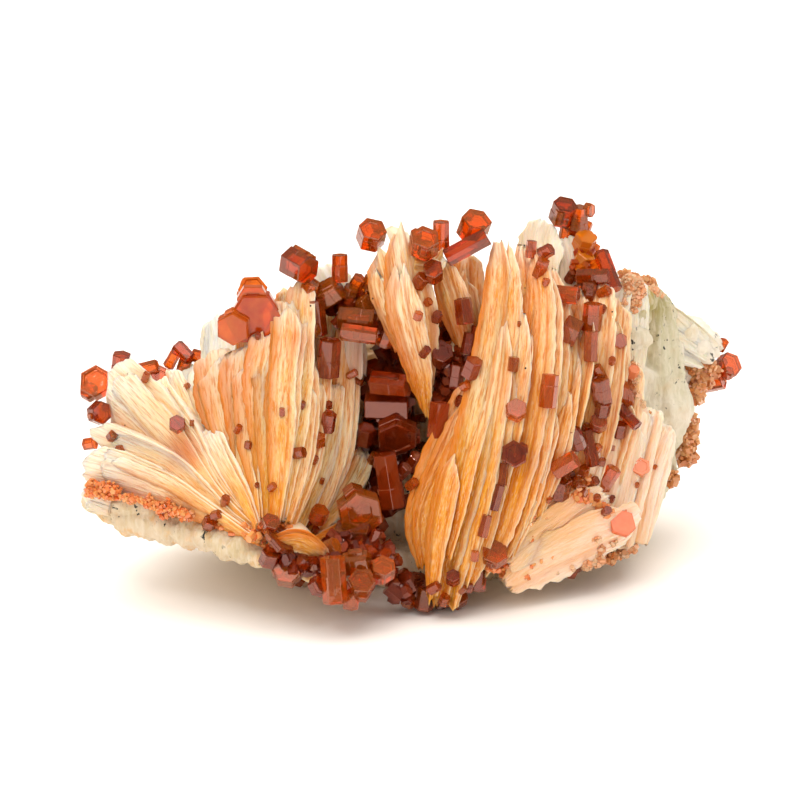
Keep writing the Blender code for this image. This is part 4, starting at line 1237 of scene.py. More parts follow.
@dataclass
class CrystalMaker:
    """Makes vanadinite crystals and gathers them for one piece."""

    draw: random.Random
    parts: MeshParts = field(default_factory=MeshParts)

    def crystal(self, middle: np.ndarray, axis: np.ndarray, diameter: float, length: float, spin: float) -> None:
        """Make one crystal: a bevelled prism with a growth step and stepped ends.

        Args:
            middle: Its middle.
            axis: Direction of its axis.
            diameter: Across its corners, in metres.
            length: Along its axis, in metres.
            spin: Turn about its axis, in degrees.
        """
        draw = self.draw
        ring = hexagon(diameter / 2.0, draw)
        half = length / 2.0
        bevel = min(0.035 * diameter, 0.08 * length)
        step = draw.uniform(0.0, 0.05)
        level = draw.uniform(-0.4, 0.4) * half
        sunk = draw.choice((-1.0, 1.0)) * draw.uniform(0.02, 0.05) * diameter
        inner = draw.uniform(0.55, 0.8)
        narrow = 2.0 * bevel / diameter
        rings = (
            (-half + sunk * 0.5, inner - 0.05),
            (-half, inner),
            (-half, 1.0 - narrow),
            (-half + bevel, 1.0),
            (level, 1.0),
            (level + 0.02 * length, 1.0 - step),
            (half - bevel, 1.0 - step),
            (half, 1.0 - step - narrow),
            (half, inner),
            (half + min(sunk, 0.0), inner - 0.05),
        )
        frame = Vector(axis).to_track_quat("Z", "Y").to_matrix() @ Matrix.Rotation(math.radians(spin), 3, "Z")
        turn = np.array(frame)
        local = np.array([(x * size, y * size, z) for z, size in rings for x, y in ring])
        points = local @ turn.T + middle
        lowest = points[:, 2].min()
        points[:, 2] += max(0.0, FLOOR_CLEARANCE - lowest)
        around = len(ring)
        faces = [tuple(range(around))[::-1]]
        for row in range(len(rings) - 1):
            for place in range(around):
                following = (place + 1) % around
                start, above = row * around, (row + 1) * around
                faces.append((start + place, start + following, above + following, above + place))
        faces.append(tuple((len(rings) - 1) * around + place for place in range(around)))
        tone = np.tile((draw.random(), draw.random(), 0.0), (len(points), 1))
        self.parts.add(points, faces, tone=tone)

    def grown(self, row: CrystalRow, ground: "Ground") -> None:
        """Make a listed crystal, with smaller ones grown parallel to it when it is large.

        Args:
            row: The crystal's values.
            ground: What it may sit on.
        """
        column, grid_row, diameter, length, lean, facing, spin, back = row
        axis = crystal_axis(lean, facing)
        size = diameter * GRID_STEP
        reach = length * GRID_STEP
        if back is None:
            middle = ground.seat(column, grid_row, PROUD_SHARE * (size + reach) / 2.0)
        else:
            middle = front_point(column, grid_row, back)
        self.crystal(middle, axis, size, reach, spin)
        if diameter < SMALLEST_WITH_SIDEKICKS:
            return
        side = unit(np.cross(axis, np.array((0.3, 0.5, 0.8))))
        other = np.cross(axis, side)
        for _ in range(self.draw.choice((1, 2))):
            angle = self.draw.uniform(0.0, 2.0 * math.pi)
            share = self.draw.uniform(0.35, 0.6)
            outward = side * math.cos(angle) + other * math.sin(angle)
            shift = outward * size * 0.33 + axis * reach * self.draw.uniform(-0.25, 0.1)
            self.crystal(middle + shift, axis, size * share, reach * self.draw.uniform(0.5, 0.8), spin)


@dataclass
class Ground:
    """The surfaces that small things are seated on, read along sight lines."""

    tree: BVHTree

    @classmethod
    def of(cls, pieces: list[bpy.types.Object]) -> "Ground":
        """Make the ground from pieces.

        Args:
            pieces: Finished pieces.

        Returns:
            The ground.
        """
        points: list[Vector] = []
        faces: list[list[int]] = []
        for piece in pieces:
            start = len(points)
            points.extend(vertex.co.copy() for vertex in piece.data.vertices)
            faces.extend([start + index for index in face.vertices] for face in piece.data.polygons)
        return cls(BVHTree.FromPolygons(points, faces))

    def seat(self, column: float, row: float, proud: float, spare_back: float = 4.0) -> np.ndarray:
        """Point a little in front of what is seen at a grid point.

        Args:
            column: Grid column.
            row: Grid row.
            proud: How far in front, in metres.
            spare_back: Mm behind DATUM, for a sight line that meets nothing.

        Returns:
            The point.
        """
        direction = sight(column, row)
        hit = self.tree.ray_cast(Vector(STATION), Vector(direction))[0]
        if hit is None:
            return front_point(column, row, spare_back)
        return np.array(hit) - direction * proud


def stands_for(region: str, nodes: list[str]) -> list[str]:
    """CAD nodes of a region of crystals.

    Args:
        region: The region's name.
        nodes: Names of every CAD node.

    Returns:
        The names of the region's nodes.
    """
    return [name for name in nodes if name.rpartition("_")[0] == f"vanadinite_{region}"]


def joined_solid(name: str, sources: list[bpy.types.Object]) -> bpy.types.Object:
    """One object with the form of several CAD nodes.

    Args:
        name: Name of the object.
        sources: The nodes.

    Returns:
        The object.
    """
    form = bmesh.new()
    for source in sources:
        copy = source.data.copy()
        copy.transform(source.matrix_world)
        form.from_mesh(copy)
        bpy.data.meshes.remove(copy)
    mesh = bpy.data.meshes.new(name)
    form.to_mesh(mesh)
    form.free()
    mesh.materials.clear()
    obj = bpy.data.objects.new(name, mesh)
    bpy.context.scene.collection.objects.link(obj)
    return obj


def settle(obj: bpy.types.Object) -> None:
    """Turn an object's modified form into its plain mesh, without modifiers."""
    depsgraph = bpy.context.evaluated_depsgraph_get()
    finished = bpy.data.meshes.new_from_object(obj.evaluated_get(depsgraph))
    obj.modifiers.clear()
    obj.data = finished
    finished.name = obj.name


@dataclass
class RoughMass:
    """A mass with the form of CAD nodes, remeshed finely and roughened."""

    name: str
    voxel: float
    swing: float
    floor: float = FLOOR_CLEARANCE

    def build(self, sources: list[bpy.types.Object]) -> bpy.types.Object:
        """Make the mass.

        Args:
            sources: The CAD nodes that it stands for.

        Returns:
            The object, smooth and without a material.
        """
        rough = joined_solid(self.name, sources)
        remesh = rough.modifiers.new("voxels", "REMESH")
        remesh.mode = "VOXEL"
        remesh.voxel_size = self.voxel
        settle(rough)
        mesh = rough.data
        count = len(mesh.vertices)
        points = np.empty(count * 3)
        normals = np.empty(count * 3)
        mesh.vertices.foreach_get("co", points)
        mesh.vertices.foreach_get("normal", normals)
        points = points.reshape(-1, 3)
        heights = np.array([self.height(Vector(point)) for point in points])
        points = points + normals.reshape(-1, 3) * (heights * self.swing)[:, None]
        points[:, 2] = np.maximum(points[:, 2], self.floor)
        mesh.vertices.foreach_set("co", points.ravel())
        mesh.polygons.foreach_set("use_smooth", [True] * len(mesh.polygons))
        mesh.update()
        return rough

    @staticmethod
    def height(point: Vector) -> float:
        """Roughness at a point, about -1 to 1."""
        broad = noise.noise(point * 260.0)
        lumps = noise.noise(point * 800.0)
        grains = noise.noise(point * 2400.0)
        return broad + 0.6 * lumps + 0.35 * grains


# Lumps that fill the rock out: (column, row, mm behind DATUM, radius in mm).
ROCK_LUMPS = (
    (96, 500, 1.0, 1.8), (112, 508, 0.0, 2.2), (130, 516, -1.5, 2.4), (150, 522, -3.0, 2.4),
    (170, 525, -4.5, 2.4), (190, 530, -6.0, 2.3), (208, 536, -7.5, 2.2), (226, 542, -9.0, 2.2),
    (244, 548, -10.5, 2.0), (260, 556, -11.5, 1.6), (642, 300, 14.0, 1.6), (638, 316, 13.0, 1.8),
    (636, 336, 12.0, 2.0), (688, 332, 24.0, 1.4), (698, 344, 25.5, 1.3), (706, 352, 26.5, 1.2),
    (700, 336, 26.0, 1.3), (712, 350, 28.0, 1.1),
)


def build_rock(source: bpy.types.Object, material: bpy.types.Material) -> bpy.types.Object:
    """Make the host rock's piece.

    Args:
        source: The CAD node that it stands for.
        material: Its finish.

    Returns:
        The piece.
    """
    form = bmesh.new()
    for column, row, back, radius in ROCK_LUMPS:
        bmesh.ops.create_icosphere(
            form,
            subdivisions=2,
            radius=radius * MM,
            matrix=Matrix.Translation(Vector(front_point(column, row, back))),
        )
    lumps = bpy.data.meshes.new("rock_lumps")
    form.to_mesh(lumps)
    form.free()
    rind = bpy.data.objects.new("rock_lumps", lumps)
    bpy.context.scene.collection.objects.link(rind)
    rock = RoughMass("host_rock_body", 0.36 * MM, 0.6 * MM, floor=0.0).build([source, rind])
    bpy.data.objects.remove(rind, do_unlink=True)
    mesh = rock.data
    points = np.empty(len(mesh.vertices) * 3)
    mesh.vertices.foreach_get("co", points)
    points = points.reshape(-1, 3)
    columns, rows = grid_of(points)
    olive = np.exp(-(((columns - 653) / 20) ** 2) - ((rows - 300) / 30) ** 2)
    rind = np.clip((300 - columns) / 60, 0.0, 1.0) * np.clip((rows - 480) / 25, 0.0, 1.0)
    olive = np.maximum(olive, 0.2 * rind)
    rust = 0.25 + 0.7 * np.clip((480 - columns) / 200, 0.0, 1.0)
    # Rust colour also towards the bottom, over the hollow and on the rind.
    low = np.clip(1.0 - points[:, 2] / (9.0 * MM), 0.0, 1.0)
    hollow = np.exp(-(((columns - 395) / 55) ** 2) - ((rows - 410) / 100) ** 2)
    low = np.maximum(np.maximum(low, 2.0 * hollow), 0.5 * rind)
    layer = mesh.attributes.new("stain", "FLOAT_VECTOR", "POINT")
    layer.data.foreach_set("vector", np.column_stack([olive, rust, low]).astype(np.float32).ravel())
    mesh.materials.append(material)
    return place_piece(rock, "host_rock", source.name)


@dataclass
class GrowthNodes:
    """Node group that grows small six-sided crystals all over a mass."""

    spacing: float
    smallest: float
    largest: float
    tilt: float
    seed: int
    keep_mass: bool = True

    def group(self, material: bpy.types.Material) -> bpy.types.NodeTree:
        """Make the group.

        Args:
            material: Finish of the crystals and the mass.

        Returns:
            The group.
        """
        tree = bpy.data.node_groups.new("crystal_growth", "GeometryNodeTree")
        tree.interface.new_socket("Geometry", in_out="INPUT", socket_type="NodeSocketGeometry")
        for name in self.inputs():
            whole = name.endswith("Seed")
            tree.interface.new_socket(
                name, in_out="INPUT", socket_type="NodeSocketInt" if whole else "NodeSocketFloat"
            )
        tree.interface.new_socket("Geometry", in_out="OUTPUT", socket_type="NodeSocketGeometry")
        nodes, links = tree.nodes, tree.links
        source = nodes.new("NodeGroupInput")
        result = nodes.new("NodeGroupOutput")
        scatter = nodes.new("GeometryNodeDistributePointsOnFaces")
        scatter.distribute_method = "POISSON"
        links.new(source.outputs["Spacing"], scatter.inputs["Distance Min"])
        links.new(source.outputs["Density"], scatter.inputs["Density Max"])
        links.new(source.outputs["Scatter Seed"], scatter.inputs["Seed"])
        links.new(source.outputs["Geometry"], scatter.inputs["Mesh"])
        prism = nodes.new("GeometryNodeMeshCylinder")
        prism.fill_type = "NGON"
        prism.inputs["Vertices"].default_value = 6
        prism.inputs["Radius"].default_value = 0.5
        prism.inputs["Depth"].default_value = 0.9
        turn = self.random(tree, (-1.0, -1.0, -1.0), (1.0, 1.0, 1.0), source.outputs["Turn Seed"])
        swing = nodes.new("ShaderNodeCombineXYZ")
        links.new(source.outputs["Tilt"], swing.inputs["X"])
        links.new(source.outputs["Tilt"], swing.inputs["Y"])
        swing.inputs["Z"].default_value = 3.2
        turned = nodes.new("ShaderNodeVectorMath")
        turned.operation = "MULTIPLY"
        links.new(turn, turned.inputs[0])
        links.new(swing.outputs["Vector"], turned.inputs[1])
        share = self.random(tree, (0.0, 0.0, 0.0), (1.0, 1.0, 1.3), source.outputs["Size Seed"])
        grown = nodes.new("ShaderNodeVectorMath")
        grown.operation = "MULTIPLY_ADD"
        links.new(share, grown.inputs[0])
        links.new(source.outputs["Size Range"], grown.inputs[1])
        links.new(source.outputs["Smallest"], grown.inputs[2])
        rotate = nodes.new("FunctionNodeRotateRotation")
        rotate.rotation_space = "LOCAL"
        euler = nodes.new("FunctionNodeEulerToRotation")
        links.new(turned.outputs["Vector"], euler.inputs[0])
        links.new(scatter.outputs["Rotation"], rotate.inputs[0])
        links.new(euler.outputs[0], rotate.inputs[1])
        placed = nodes.new("GeometryNodeInstanceOnPoints")
        links.new(scatter.outputs["Points"], placed.inputs["Points"])
        links.new(prism.outputs["Mesh"], placed.inputs["Instance"])
        links.new(rotate.outputs[0], placed.inputs["Rotation"])
        links.new(grown.outputs["Vector"], placed.inputs["Scale"])
        keep = nodes.new("GeometryNodeStoreNamedAttribute")
        keep.data_type = "FLOAT_VECTOR"
        keep.domain = "INSTANCE"
        keep.inputs["Name"].default_value = "tone"
        links.new(placed.outputs["Instances"], keep.inputs["Geometry"])
        links.new(
            self.random(tree, (0.0, 0.0, 0.0), (1.0, 1.0, 1.0), source.outputs["Tone Seed"]),
            keep.inputs["Value"],
        )
        real = nodes.new("GeometryNodeRealizeInstances")
        links.new(keep.outputs["Geometry"], real.inputs["Geometry"])
        whole = nodes.new("GeometryNodeJoinGeometry")
        if self.keep_mass:
            links.new(source.outputs["Geometry"], whole.inputs["Geometry"])
        links.new(real.outputs["Geometry"], whole.inputs["Geometry"])
        coat = nodes.new("GeometryNodeSetMaterial")
        coat.inputs["Material"].default_value = material
        links.new(whole.outputs["Geometry"], coat.inputs["Geometry"])
        links.new(coat.outputs["Geometry"], result.inputs["Geometry"])
        return tree

    def inputs(self) -> dict[str, float | int]:
        """The group's named inputs and their values."""
        return {
            "Spacing": self.spacing,
            "Density": 4.0 / (self.spacing * self.spacing),
            "Smallest": self.smallest,
            "Size Range": self.largest - self.smallest,
            "Tilt": self.tilt,
            "Scatter Seed": self.seed,
            "Turn Seed": self.seed + 1,
            "Size Seed": self.seed + 2,
            "Tone Seed": self.seed + 3,
        }

    @staticmethod
    def random(
        tree: bpy.types.NodeTree, low: Colour, high: Colour, seed: bpy.types.NodeSocket
    ) -> bpy.types.NodeSocket:
        """Random vectors between two bounds.

        Args:
            tree: The group.
            low: Lower bound.
            high: Upper bound.
            seed: Socket that gives the seed.

        Returns:
            The socket that gives them.
        """
        node = tree.nodes.new("FunctionNodeRandomValue")
        node.data_type = "FLOAT_VECTOR"
        sockets = [socket for socket in node.inputs if socket.enabled]
        sockets[0].default_value = low
        sockets[1].default_value = high
        tree.links.new(seed, next(socket for socket in sockets if socket.name == "Seed"))
        return next(socket for socket in node.outputs if socket.enabled)

    def grow(self, mass: bpy.types.Object, material: bpy.types.Material) -> None:
        """Grow the crystals on a mass and settle them into its mesh."""
        grower = mass.modifiers.new("growth", "NODES")
        values = self.inputs()
        group = self.group(material)
        grower.node_group = group
        for socket in group.interface.items_tree:
            if socket.name in values:
                grower[socket.identifier] = values[socket.name]
        settle(mass)
        mass.data.materials.clear()
        mass.data.materials.append(material)


@dataclass(frozen=True)
class Crust:
    """A crust of small crystals along a rim, standing for the CAD nodes of its region."""

    region: str
    spacing: float
    smallest: float
    largest: float
    inset: float
    seed: int

    def build(self, sources: list[bpy.types.Object], material: bpy.types.Material) -> bpy.types.Object:
        """Make the crust's piece.

        Args:
            sources: The CAD nodes that it stands for.
            material: Its finish.

        Returns:
            The piece.
        """
        mass = RoughMass(f"vanadinite_{self.region}_druse", 0.3 * MM, 0.22 * MM).build(sources)
        shrink_into(mass, self.inset)
        nodes = GrowthNodes(self.spacing, self.smallest, self.largest, 0.9, self.seed)
        nodes.grow(mass, material)
        lift_low_points(mass)
        return place_piece(mass, "vanadinite", *[source.name for source in sources])


@dataclass(frozen=True)
class Clump:
    """A lump of small crystals that has no CAD node of its own.

    The blobs are (column, row, mm behind DATUM or None to sit on what is seen, radius in mm).
    """

    name: str
    blobs: tuple[tuple[float, float, float | None, float], ...]
    spacing: float
    smallest: float
    largest: float
    seed: int

    def build(self, ground: Ground, material: bpy.types.Material) -> bpy.types.Object:
        """Make the clump's piece.

        Args:
            ground: What it may sit on.
            material: Its finish.

        Returns:
            The piece.
        """
        form = bmesh.new()
        for column, row, back, radius in self.blobs:
            if back is None:
                middle = ground.seat(column, row, -0.45 * radius * MM)
            else:
                middle = front_point(column, row, back)
            bmesh.ops.create_icosphere(
                form, subdivisions=2, radius=radius * MM, matrix=Matrix.Translation(Vector(middle))
            )
        mesh = bpy.data.meshes.new(f"{self.name}_core")
        form.to_mesh(mesh)
        form.free()
        core = bpy.data.objects.new(f"{self.name}_core", mesh)
        bpy.context.scene.collection.objects.link(core)
        mass = RoughMass(self.name, 0.3 * MM, 0.25 * MM).build([core])
        bpy.data.objects.remove(core, do_unlink=True)
        shrink_into(mass, 0.2 * MM)
        GrowthNodes(self.spacing, self.smallest, self.largest, 0.9, self.seed).grow(mass, material)
        lift_low_points(mass)
        return place_piece(mass, "vanadinite")


def shrink_into(mass: bpy.types.Object, depth: float) -> None:
    """Draw a mass's surface inwards, so that what grows on it stays within its former size."""
    mesh = mass.data
    points = np.empty(len(mesh.vertices) * 3)
    normals = np.empty(len(mesh.vertices) * 3)
    mesh.vertices.foreach_get("co", points)
    mesh.vertices.foreach_get("normal", normals)
    mesh.vertices.foreach_set("co", points - normals * depth)
    mesh.update()


def lift_low_points(piece: bpy.types.Object) -> None:
    """Keep every point of a piece above the floor."""
    mesh = piece.data
    points = np.empty(len(mesh.vertices) * 3)
    mesh.vertices.foreach_get("co", points)
    points = points.reshape(-1, 3)
    points[:, 2] = np.maximum(points[:, 2], FLOOR_CLEARANCE)
    mesh.vertices.foreach_set("co", points.ravel())
    mesh.update()


CRUSTS = (
    Crust("left_rim", 0.38 * MM, 0.3 * MM, 0.7 * MM, 0.95 * MM, 11),
    Crust("rock_rim", 0.5 * MM, 0.4 * MM, 1.1 * MM, 0.6 * MM, 12),
    Crust("rock_crown", 0.45 * MM, 0.3 * MM, 0.8 * MM, 0.5 * MM, 13),
    Crust("flank_rim", 0.4 * MM, 0.35 * MM, 0.8 * MM, 0.4 * MM, 14),
    Crust("hollow_crust", 1.9 * MM, 1.1 * MM, 2.8 * MM, 0.8 * MM, 15),
)
ORANGE_CLUMPS = (
    Clump(
        "druse_right_arm",
        ((699, 362, 27.0, 1.2), (706, 368, 27.5, 1.3), (697, 378, 26.5, 1.3), (706, 381, 27.5, 1.2),
         (695, 391, 25.5, 1.1), (713, 372, 29.0, 1.1), (691, 368, 26.0, 1.1)),
        0.45 * MM, 0.35 * MM, 0.95 * MM, 31,
    ),
    Clump(
        "druse_left_root",
        ((262, 541, None, 0.9), (254, 537, None, 0.8), (268, 550, None, 0.9), (246, 530, None, 0.6),
         (276, 556, None, 0.8), (212, 522, None, 0.7), (222, 527, None, 0.6), (234, 533, None, 0.5),
         (260, 529, None, 0.6), (270, 524, None, 0.7), (281, 522, None, 0.6), (290, 528, None, 0.5)),
        0.6 * MM, 0.5 * MM, 1.1 * MM, 37,
    ),
    Clump(
        "druse_flank_patch",
        ((566, 489, None, 1.1), (576, 494, None, 1.1), (587, 497, None, 0.9), (583, 480, None, 1.0),
         (570, 478, None, 0.9), (597, 503, None, 0.7), (606, 511, None, 0.8)),
        0.5 * MM, 0.4 * MM, 1.1 * MM, 32,
    ),
    Clump(
        "druse_flank_edge",
        ((556, 574, None, 0.5), (571, 568, None, 0.5), (586, 564, None, 0.8), (598, 560, None, 0.9),
         (610, 556, None, 0.9), (622, 552, None, 0.8), (633, 548, None, 0.6), (600, 548, None, 0.7),
         (612, 542, None, 0.7), (596, 538, None, 0.6)),
        0.4 * MM, 0.3 * MM, 0.75 * MM, 36,
    ),
    Clump(
        "druse_flank_spots",
        ((534, 517, None, 0.35), (530, 525, None, 0.35), (531, 538, None, 0.45), (535, 545, None, 0.4),
         (546, 518, None, 0.4), (532, 566, None, 0.45), (540, 561, None, 0.4), (527, 576, None, 0.5),
         (552, 557, None, 0.35)),
        0.35 * MM, 0.3 * MM, 0.6 * MM, 33,
    ),
    Clump(
        "druse_rock_edge",
        ((633, 366, None, 0.7), (635, 376, None, 0.7), (634, 386, None, 0.7), (638, 394, None, 0.6),
         (643, 404, None, 0.6), (632, 300, None, 0.6), (634, 310, None, 0.6), (650, 412, None, 0.5)),
        0.4 * MM, 0.35 * MM, 0.8 * MM, 34,
    ),
    Clump(
        "druse_crown",
        ((629, 279, 12.0, 0.9), (636, 284, None, 1.0), (628, 291, None, 0.9), (640, 292, None, 0.8),
         (624, 304, None, 0.7), (634, 302, None, 0.8), (653, 291, None, 0.7), (661, 296, None, 0.6),
         (647, 284, None, 0.7)),
        0.36 * MM, 0.28 * MM, 0.7 * MM, 38,
    ),
    Clump(
        "druse_fan_foot",
        ((500, 562, None, 0.9), (508, 566, None, 0.9), (493, 566, None, 0.8), (505, 574, None, 0.7)),
        0.45 * MM, 0.4 * MM, 0.9 * MM, 35,
    ),
)
HONEY_CLUMPS = ("druse_flank_edge", "druse_rock_edge", "druse_crown")
RED_CLUMPS = (
    Clump(
        "vanadinite_upper_mass",
        ((325, 300, 5.5, 1.6), (340, 300, 6.0, 1.7), (352, 306, 5.5, 1.7), (366, 300, 6.5, 1.4),
         (362, 322, 4.0, 1.6), (375, 328, 4.5, 1.5), (345, 322, 4.0, 1.2)),
        1.1 * MM, 0.9 * MM, 1.8 * MM, 41,
    ),
    Clump(
        "vanadinite_hollow_side_mass",
        ((432, 345, 4.0, 1.6), (440, 326, 6.0, 1.5), (446, 366, 4.0, 1.7), (466, 352, 4.0, 1.5), (446, 392, 3.0, 1.7),
         (441, 412, 2.0, 1.4), (472, 362, 4.5, 1.3), (428, 318, 5.0, 1.3)),
        1.0 * MM, 0.8 * MM, 1.7 * MM, 42,
    ),
    Clump(
        "vanadinite_foot_mass",
        ((372, 548, -7.5, 2.0), (352, 560, -11.0, 2.0), (386, 560, -9.0, 1.8), (330, 566, -13.0, 1.8),
         (306, 566, -13.6, 1.6), (288, 562, -13.8, 1.5), (402, 588, -8.0, 1.6), (340, 545, -9.0, 1.6),
         (420, 590, -6.0, 1.5), (440, 598, -5.5, 1.4)),
        1.2 * MM, 0.9 * MM, 2.0 * MM, 43,
    ),
    Clump(
        "vanadinite_summit_mass",
        ((580, 232, 13.5, 1.3), (586, 252, 12.5, 1.5), (583, 270, 10.5, 1.4), (596, 283, 8.5, 1.4),
         (574, 220, 13.8, 1.0)),
        0.9 * MM, 0.7 * MM, 1.5 * MM, 44,
    ),
)


@dataclass(frozen=True)
class Studio:
    """Pale floor, soft lights and the camera."""

    floor_size: float = 3.0
    floor_colour: Colour = (0.97, 0.92, 0.86)
    key_power: float = 6.1
    top_power: float = 21.0
    fill_power: float = 2.0
    glint_power: float = 0.6
    window_power: float = 1.4
    side_power: float = 1.0
    world_strength: float = 0.36
    world_colour: Colour = (1.0, 0.93, 0.86)

    def build(self) -> None:
        """Make the floor, the lights, the world and the camera."""
        self.floor()
        self.light("key", (-0.5, -0.8, 0.9), 1.0, self.key_power).visible_glossy = False
        self.light("top", (-0.1, 0.3, 1.0), 1.7, self.top_power).visible_glossy = False
        self.light("fill", (0.9, -0.4, 0.5), 0.8, self.fill_power)
        self.light("glint", (-0.35, -0.5, 0.75), 0.07, self.glint_power)
        self.light("spark", (0.4, -0.35, 1.0), 0.04, 0.6 * self.glint_power)
        self.light("window", (0.1, -0.6, 0.75), 0.5, self.window_power)
        self.light("side", (-0.9, -0.7, 0.35), 0.8, self.side_power).visible_glossy = False
        world = bpy.data.worlds.new("studio_air")
        world.use_nodes = True
        background = world.node_tree.nodes["Background"]
        background.inputs["Color"].default_value = (*self.world_colour, 1.0)
        background.inputs["Strength"].default_value = self.world_strength
        bpy.context.scene.world = world
        self.camera()

    def floor(self) -> None:
        """Make the plain pale floor."""
        form = bmesh.new()
        bmesh.ops.create_grid(form, x_segments=1, y_segments=1, size=self.floor_size / 2.0)
        mesh = bpy.data.meshes.new("floor")
        form.to_mesh(mesh)
        form.free()
        material, _, shader = start_material("floor_paper")
        shader.inputs["Base Color"].default_value = (*self.floor_colour, 1.0)
        shader.inputs["Roughness"].default_value = 0.9
        mesh.materials.append(material)
        floor = bpy.data.objects.new("floor", mesh)
        bpy.context.scene.collection.objects.link(floor)
        floor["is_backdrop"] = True

    def light(self, name: str, place: Colour, size: float, power: float) -> bpy.types.Object:
        """Make one soft light aimed at the piece.

        Args:
            name: Its name.
            place: Where it stands, in metres.
            size: Side of its square in metres.
            power: Its power in watts.

        Returns:
            The light.
        """
        data = bpy.data.lights.new(name, "AREA")
        data.size = size
        data.energy = power
        lamp = bpy.data.objects.new(name, data)
        lamp.location = place
        lamp.rotation_euler = (Vector((0.0, 0.0, 0.02)) - Vector(place)).to_track_quat("-Z", "Y").to_euler()
        bpy.context.scene.collection.objects.link(lamp)
        return lamp

    def camera(self) -> None:
        """Make the camera at the station."""
        data = bpy.data.cameras.new("camera")
        data.sensor_width = SENSOR_WIDTH_MM
        data.lens = LENS_MM
        data.clip_start = 0.05
        data.clip_end = 20.0
        camera = bpy.data.objects.new("camera", data)
        camera.location = STATION.tolist()
        axes = Matrix((RIGHTWARD, UPWARD, -INWARD)).transposed()
        camera.rotation_euler = axes.to_euler()
        bpy.context.scene.collection.objects.link(camera)
        bpy.context.scene.camera = camera


def keep_inside(pieces: list[bpy.types.Object], box: list[list[float]]) -> None:
    """Keep every point of the pieces inside a box.

    Args:
        pieces: The pieces.
        box: Its lowest and highest corners.
    """
    low = np.array(box[0]) + BOX_MARGIN
    high = np.array(box[1]) - BOX_MARGIN
    low[2] = 0.0
    for piece in pieces:
        points = np.empty(len(piece.data.vertices) * 3)
        piece.data.vertices.foreach_get("co", points)
        points = np.clip(points.reshape(-1, 3), low, high)
        piece.data.vertices.foreach_set("co", points.ravel())
        piece.data.update()


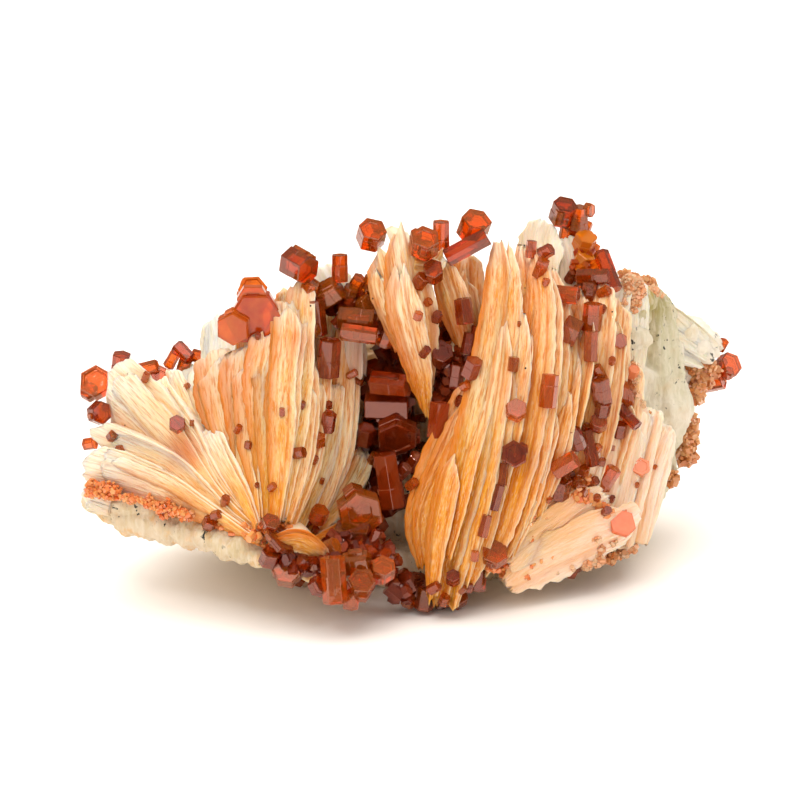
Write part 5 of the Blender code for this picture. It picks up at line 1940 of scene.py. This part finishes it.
def main() -> None:
    """Dress the frame and set the scene."""
    logging.basicConfig(level=logging.INFO, format="%(message)s")
    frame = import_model()
    cad_box = [list(corner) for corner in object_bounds()]
    bpy.context.scene.view_settings.view_transform = "Standard"
    barite = BariteFinish().build()
    resin = VanadiniteFinish(
        "vanadinite_faces", (0.3, 0.026, 0.004), (0.82, 0.21, 0.012), 0.06, 0.8, 1000.0
    ).build()
    druse = VanadiniteFinish(
        "vanadinite_druse", (0.92, 0.16, 0.02), (1.0, 0.45, 0.14), 0.15, 0.3, 400.0
    ).build()
    honey = VanadiniteFinish(
        "vanadinite_honey", (1.0, 0.38, 0.12), (1.0, 0.7, 0.42), 0.08, 0.4, 150.0
    ).build()
    ginger = VanadiniteFinish(
        "vanadinite_ginger", (0.75, 0.22, 0.04), (0.98, 0.52, 0.22), 0.1, 0.4, 300.0
    ).build()
    ember = VanadiniteFinish(
        "vanadinite_ember", (0.62, 0.045, 0.003), (0.94, 0.22, 0.009), 0.06, 0.6, 450.0, 0.2
    ).build()
    amber = VanadiniteFinish(
        "vanadinite_amber", (0.95, 0.13, 0.004), (1.0, 0.32, 0.015), 0.05, 0.5, 200.0
    ).build()
    flush = VanadiniteFinish(
        "vanadinite_flush", (0.88, 0.14, 0.035), (0.96, 0.3, 0.12), 0.2, 0.3, 300.0
    ).build()
    # A much darker copy of the vanadinite finish for the hollow, its crystals and the masses tucked behind and below:
    # partly their own deep maroon, partly painted shade.
    shaded_lining = VanadiniteFinish(
        "vanadinite_lining", (0.1, 0.006, 0.002), (0.5, 0.06, 0.006), 0.08, 0.6, 1500.0
    ).build()
    rock = build_rock(frame["nodes"]["matrix_rock"], RockFinish().build())
    petals = BariteFinish(
        name="barite_petals",
        pale=(1.0, 0.83, 0.6),
        cream=(1.0, 0.64, 0.27),
        gold=(0.98, 0.42, 0.04),
        frosting=0.75,
        streaking=0.75,
    ).build()
    rosy = BariteFinish(
        name="barite_flank",
        pale=(0.98, 0.86, 0.77),
        cream=(0.95, 0.66, 0.47),
        gold=(0.9, 0.42, 0.11),
        ochre=(0.8, 0.36, 0.12),
        blush=(0.95, 0.66, 0.5),
        streaking=0.55,
        frosting=0.6,
    ).build()
    icy = BariteFinish(
        name="barite_icy",
        pale=(0.82, 0.78, 0.7),
        cream=(0.76, 0.68, 0.54),
        gold=(0.86, 0.6, 0.3),
        ochre=(0.6, 0.5, 0.3),
        blush=(0.9, 0.78, 0.66),
        streaking=0.5,
    ).build()
    fans = (
        (BariteFan("barite_left_petals", Fan.LEFT, LEFT_PETALS, Habit.PETAL, 1000), petals),
        (BariteFan("barite_left_leaves", Fan.LEFT, LEFT_LEAVES, Habit.PETAL, 1500), barite),
        (BariteFan("barite_left_stack", Fan.LEFT, LEFT_STACK, Habit.STACK, 2000), barite),
        (BariteFan("barite_spear_sheets", Fan.SPEAR, SPEAR_BLADES, Habit.FEATHER, 3000), barite),
        (BariteFan("barite_right_feathers", Fan.RIGHT, RIGHT_FEATHERS, Habit.FEATHER, 4000), barite),
        (BariteFan("barite_right_front", Fan.RIGHT, RIGHT_FRONT, Habit.FEATHER, 4500), barite),
        (BariteFan("barite_right_flank", Fan.RIGHT, RIGHT_FLANK, Habit.FLANK, 5000), rosy),
        (BariteFan("barite_flank_plates", Fan.RIGHT, FLANK_PLATES, Habit.PLATE, 5500), rosy),
        (BariteFan("barite_icy_blades", Fan.RIGHT, ICY_BLADES, Habit.FLANK, 6000), icy),
        (BariteFan("barite_summit_blades", Fan.RIGHT, SUMMIT_BLADES, Habit.PLATE, 6500), icy),
    )
    pieces = [fan.build(finish) for fan, finish in fans]
    ground = Ground.of(pieces + [rock])
    for clump in ORANGE_CLUMPS:
        finish = ginger if clump.name == "druse_right_arm" else honey
        clump.build(ground, finish if clump.name in HONEY_CLUMPS + ("druse_right_arm",) else druse)
    for clump in RED_CLUMPS:
        clump.build(ground, ember if clump.name == "vanadinite_summit_mass" else shaded_lining)
    nodes = list(frame["nodes"])
    for crust in CRUSTS:
        finish = {"hollow_crust": shaded_lining, "left_rim": druse}.get(crust.region, ginger)
        crust.build([frame["nodes"][name] for name in stands_for(crust.region, nodes)], finish)
    finishes = {
        "right_flank": flush, "left_plate": ember, "summit_amber": amber, "hollow_crust": shaded_lining, "hollow_side": shaded_lining
    }
    for number, (region, rows) in enumerate(CRYSTALS.items()):
        maker = CrystalMaker(random.Random(700 + number))
        for row in rows:
            maker.grown(row, ground)
        finish = finishes.get(region, resin)
        piece = maker.parts.build(f"vanadinite_{region}_crystals", finish, smooth=False)
        place_piece(piece, "vanadinite", *stands_for(region, nodes))
    maker = CrystalMaker(random.Random(900))
    for column, row, size, lean, facing in SCATTERED:
        maker.grown((column, row, size, size * maker.draw.uniform(0.7, 1.4), lean, facing, 0.0, None), ground)
    place_piece(maker.parts.build("vanadinite_scattered_crystals", resin, smooth=False), "vanadinite")
    keep_inside(PLACED, cad_box)
    Studio().build()


if __name__ == "__main__":
    main()
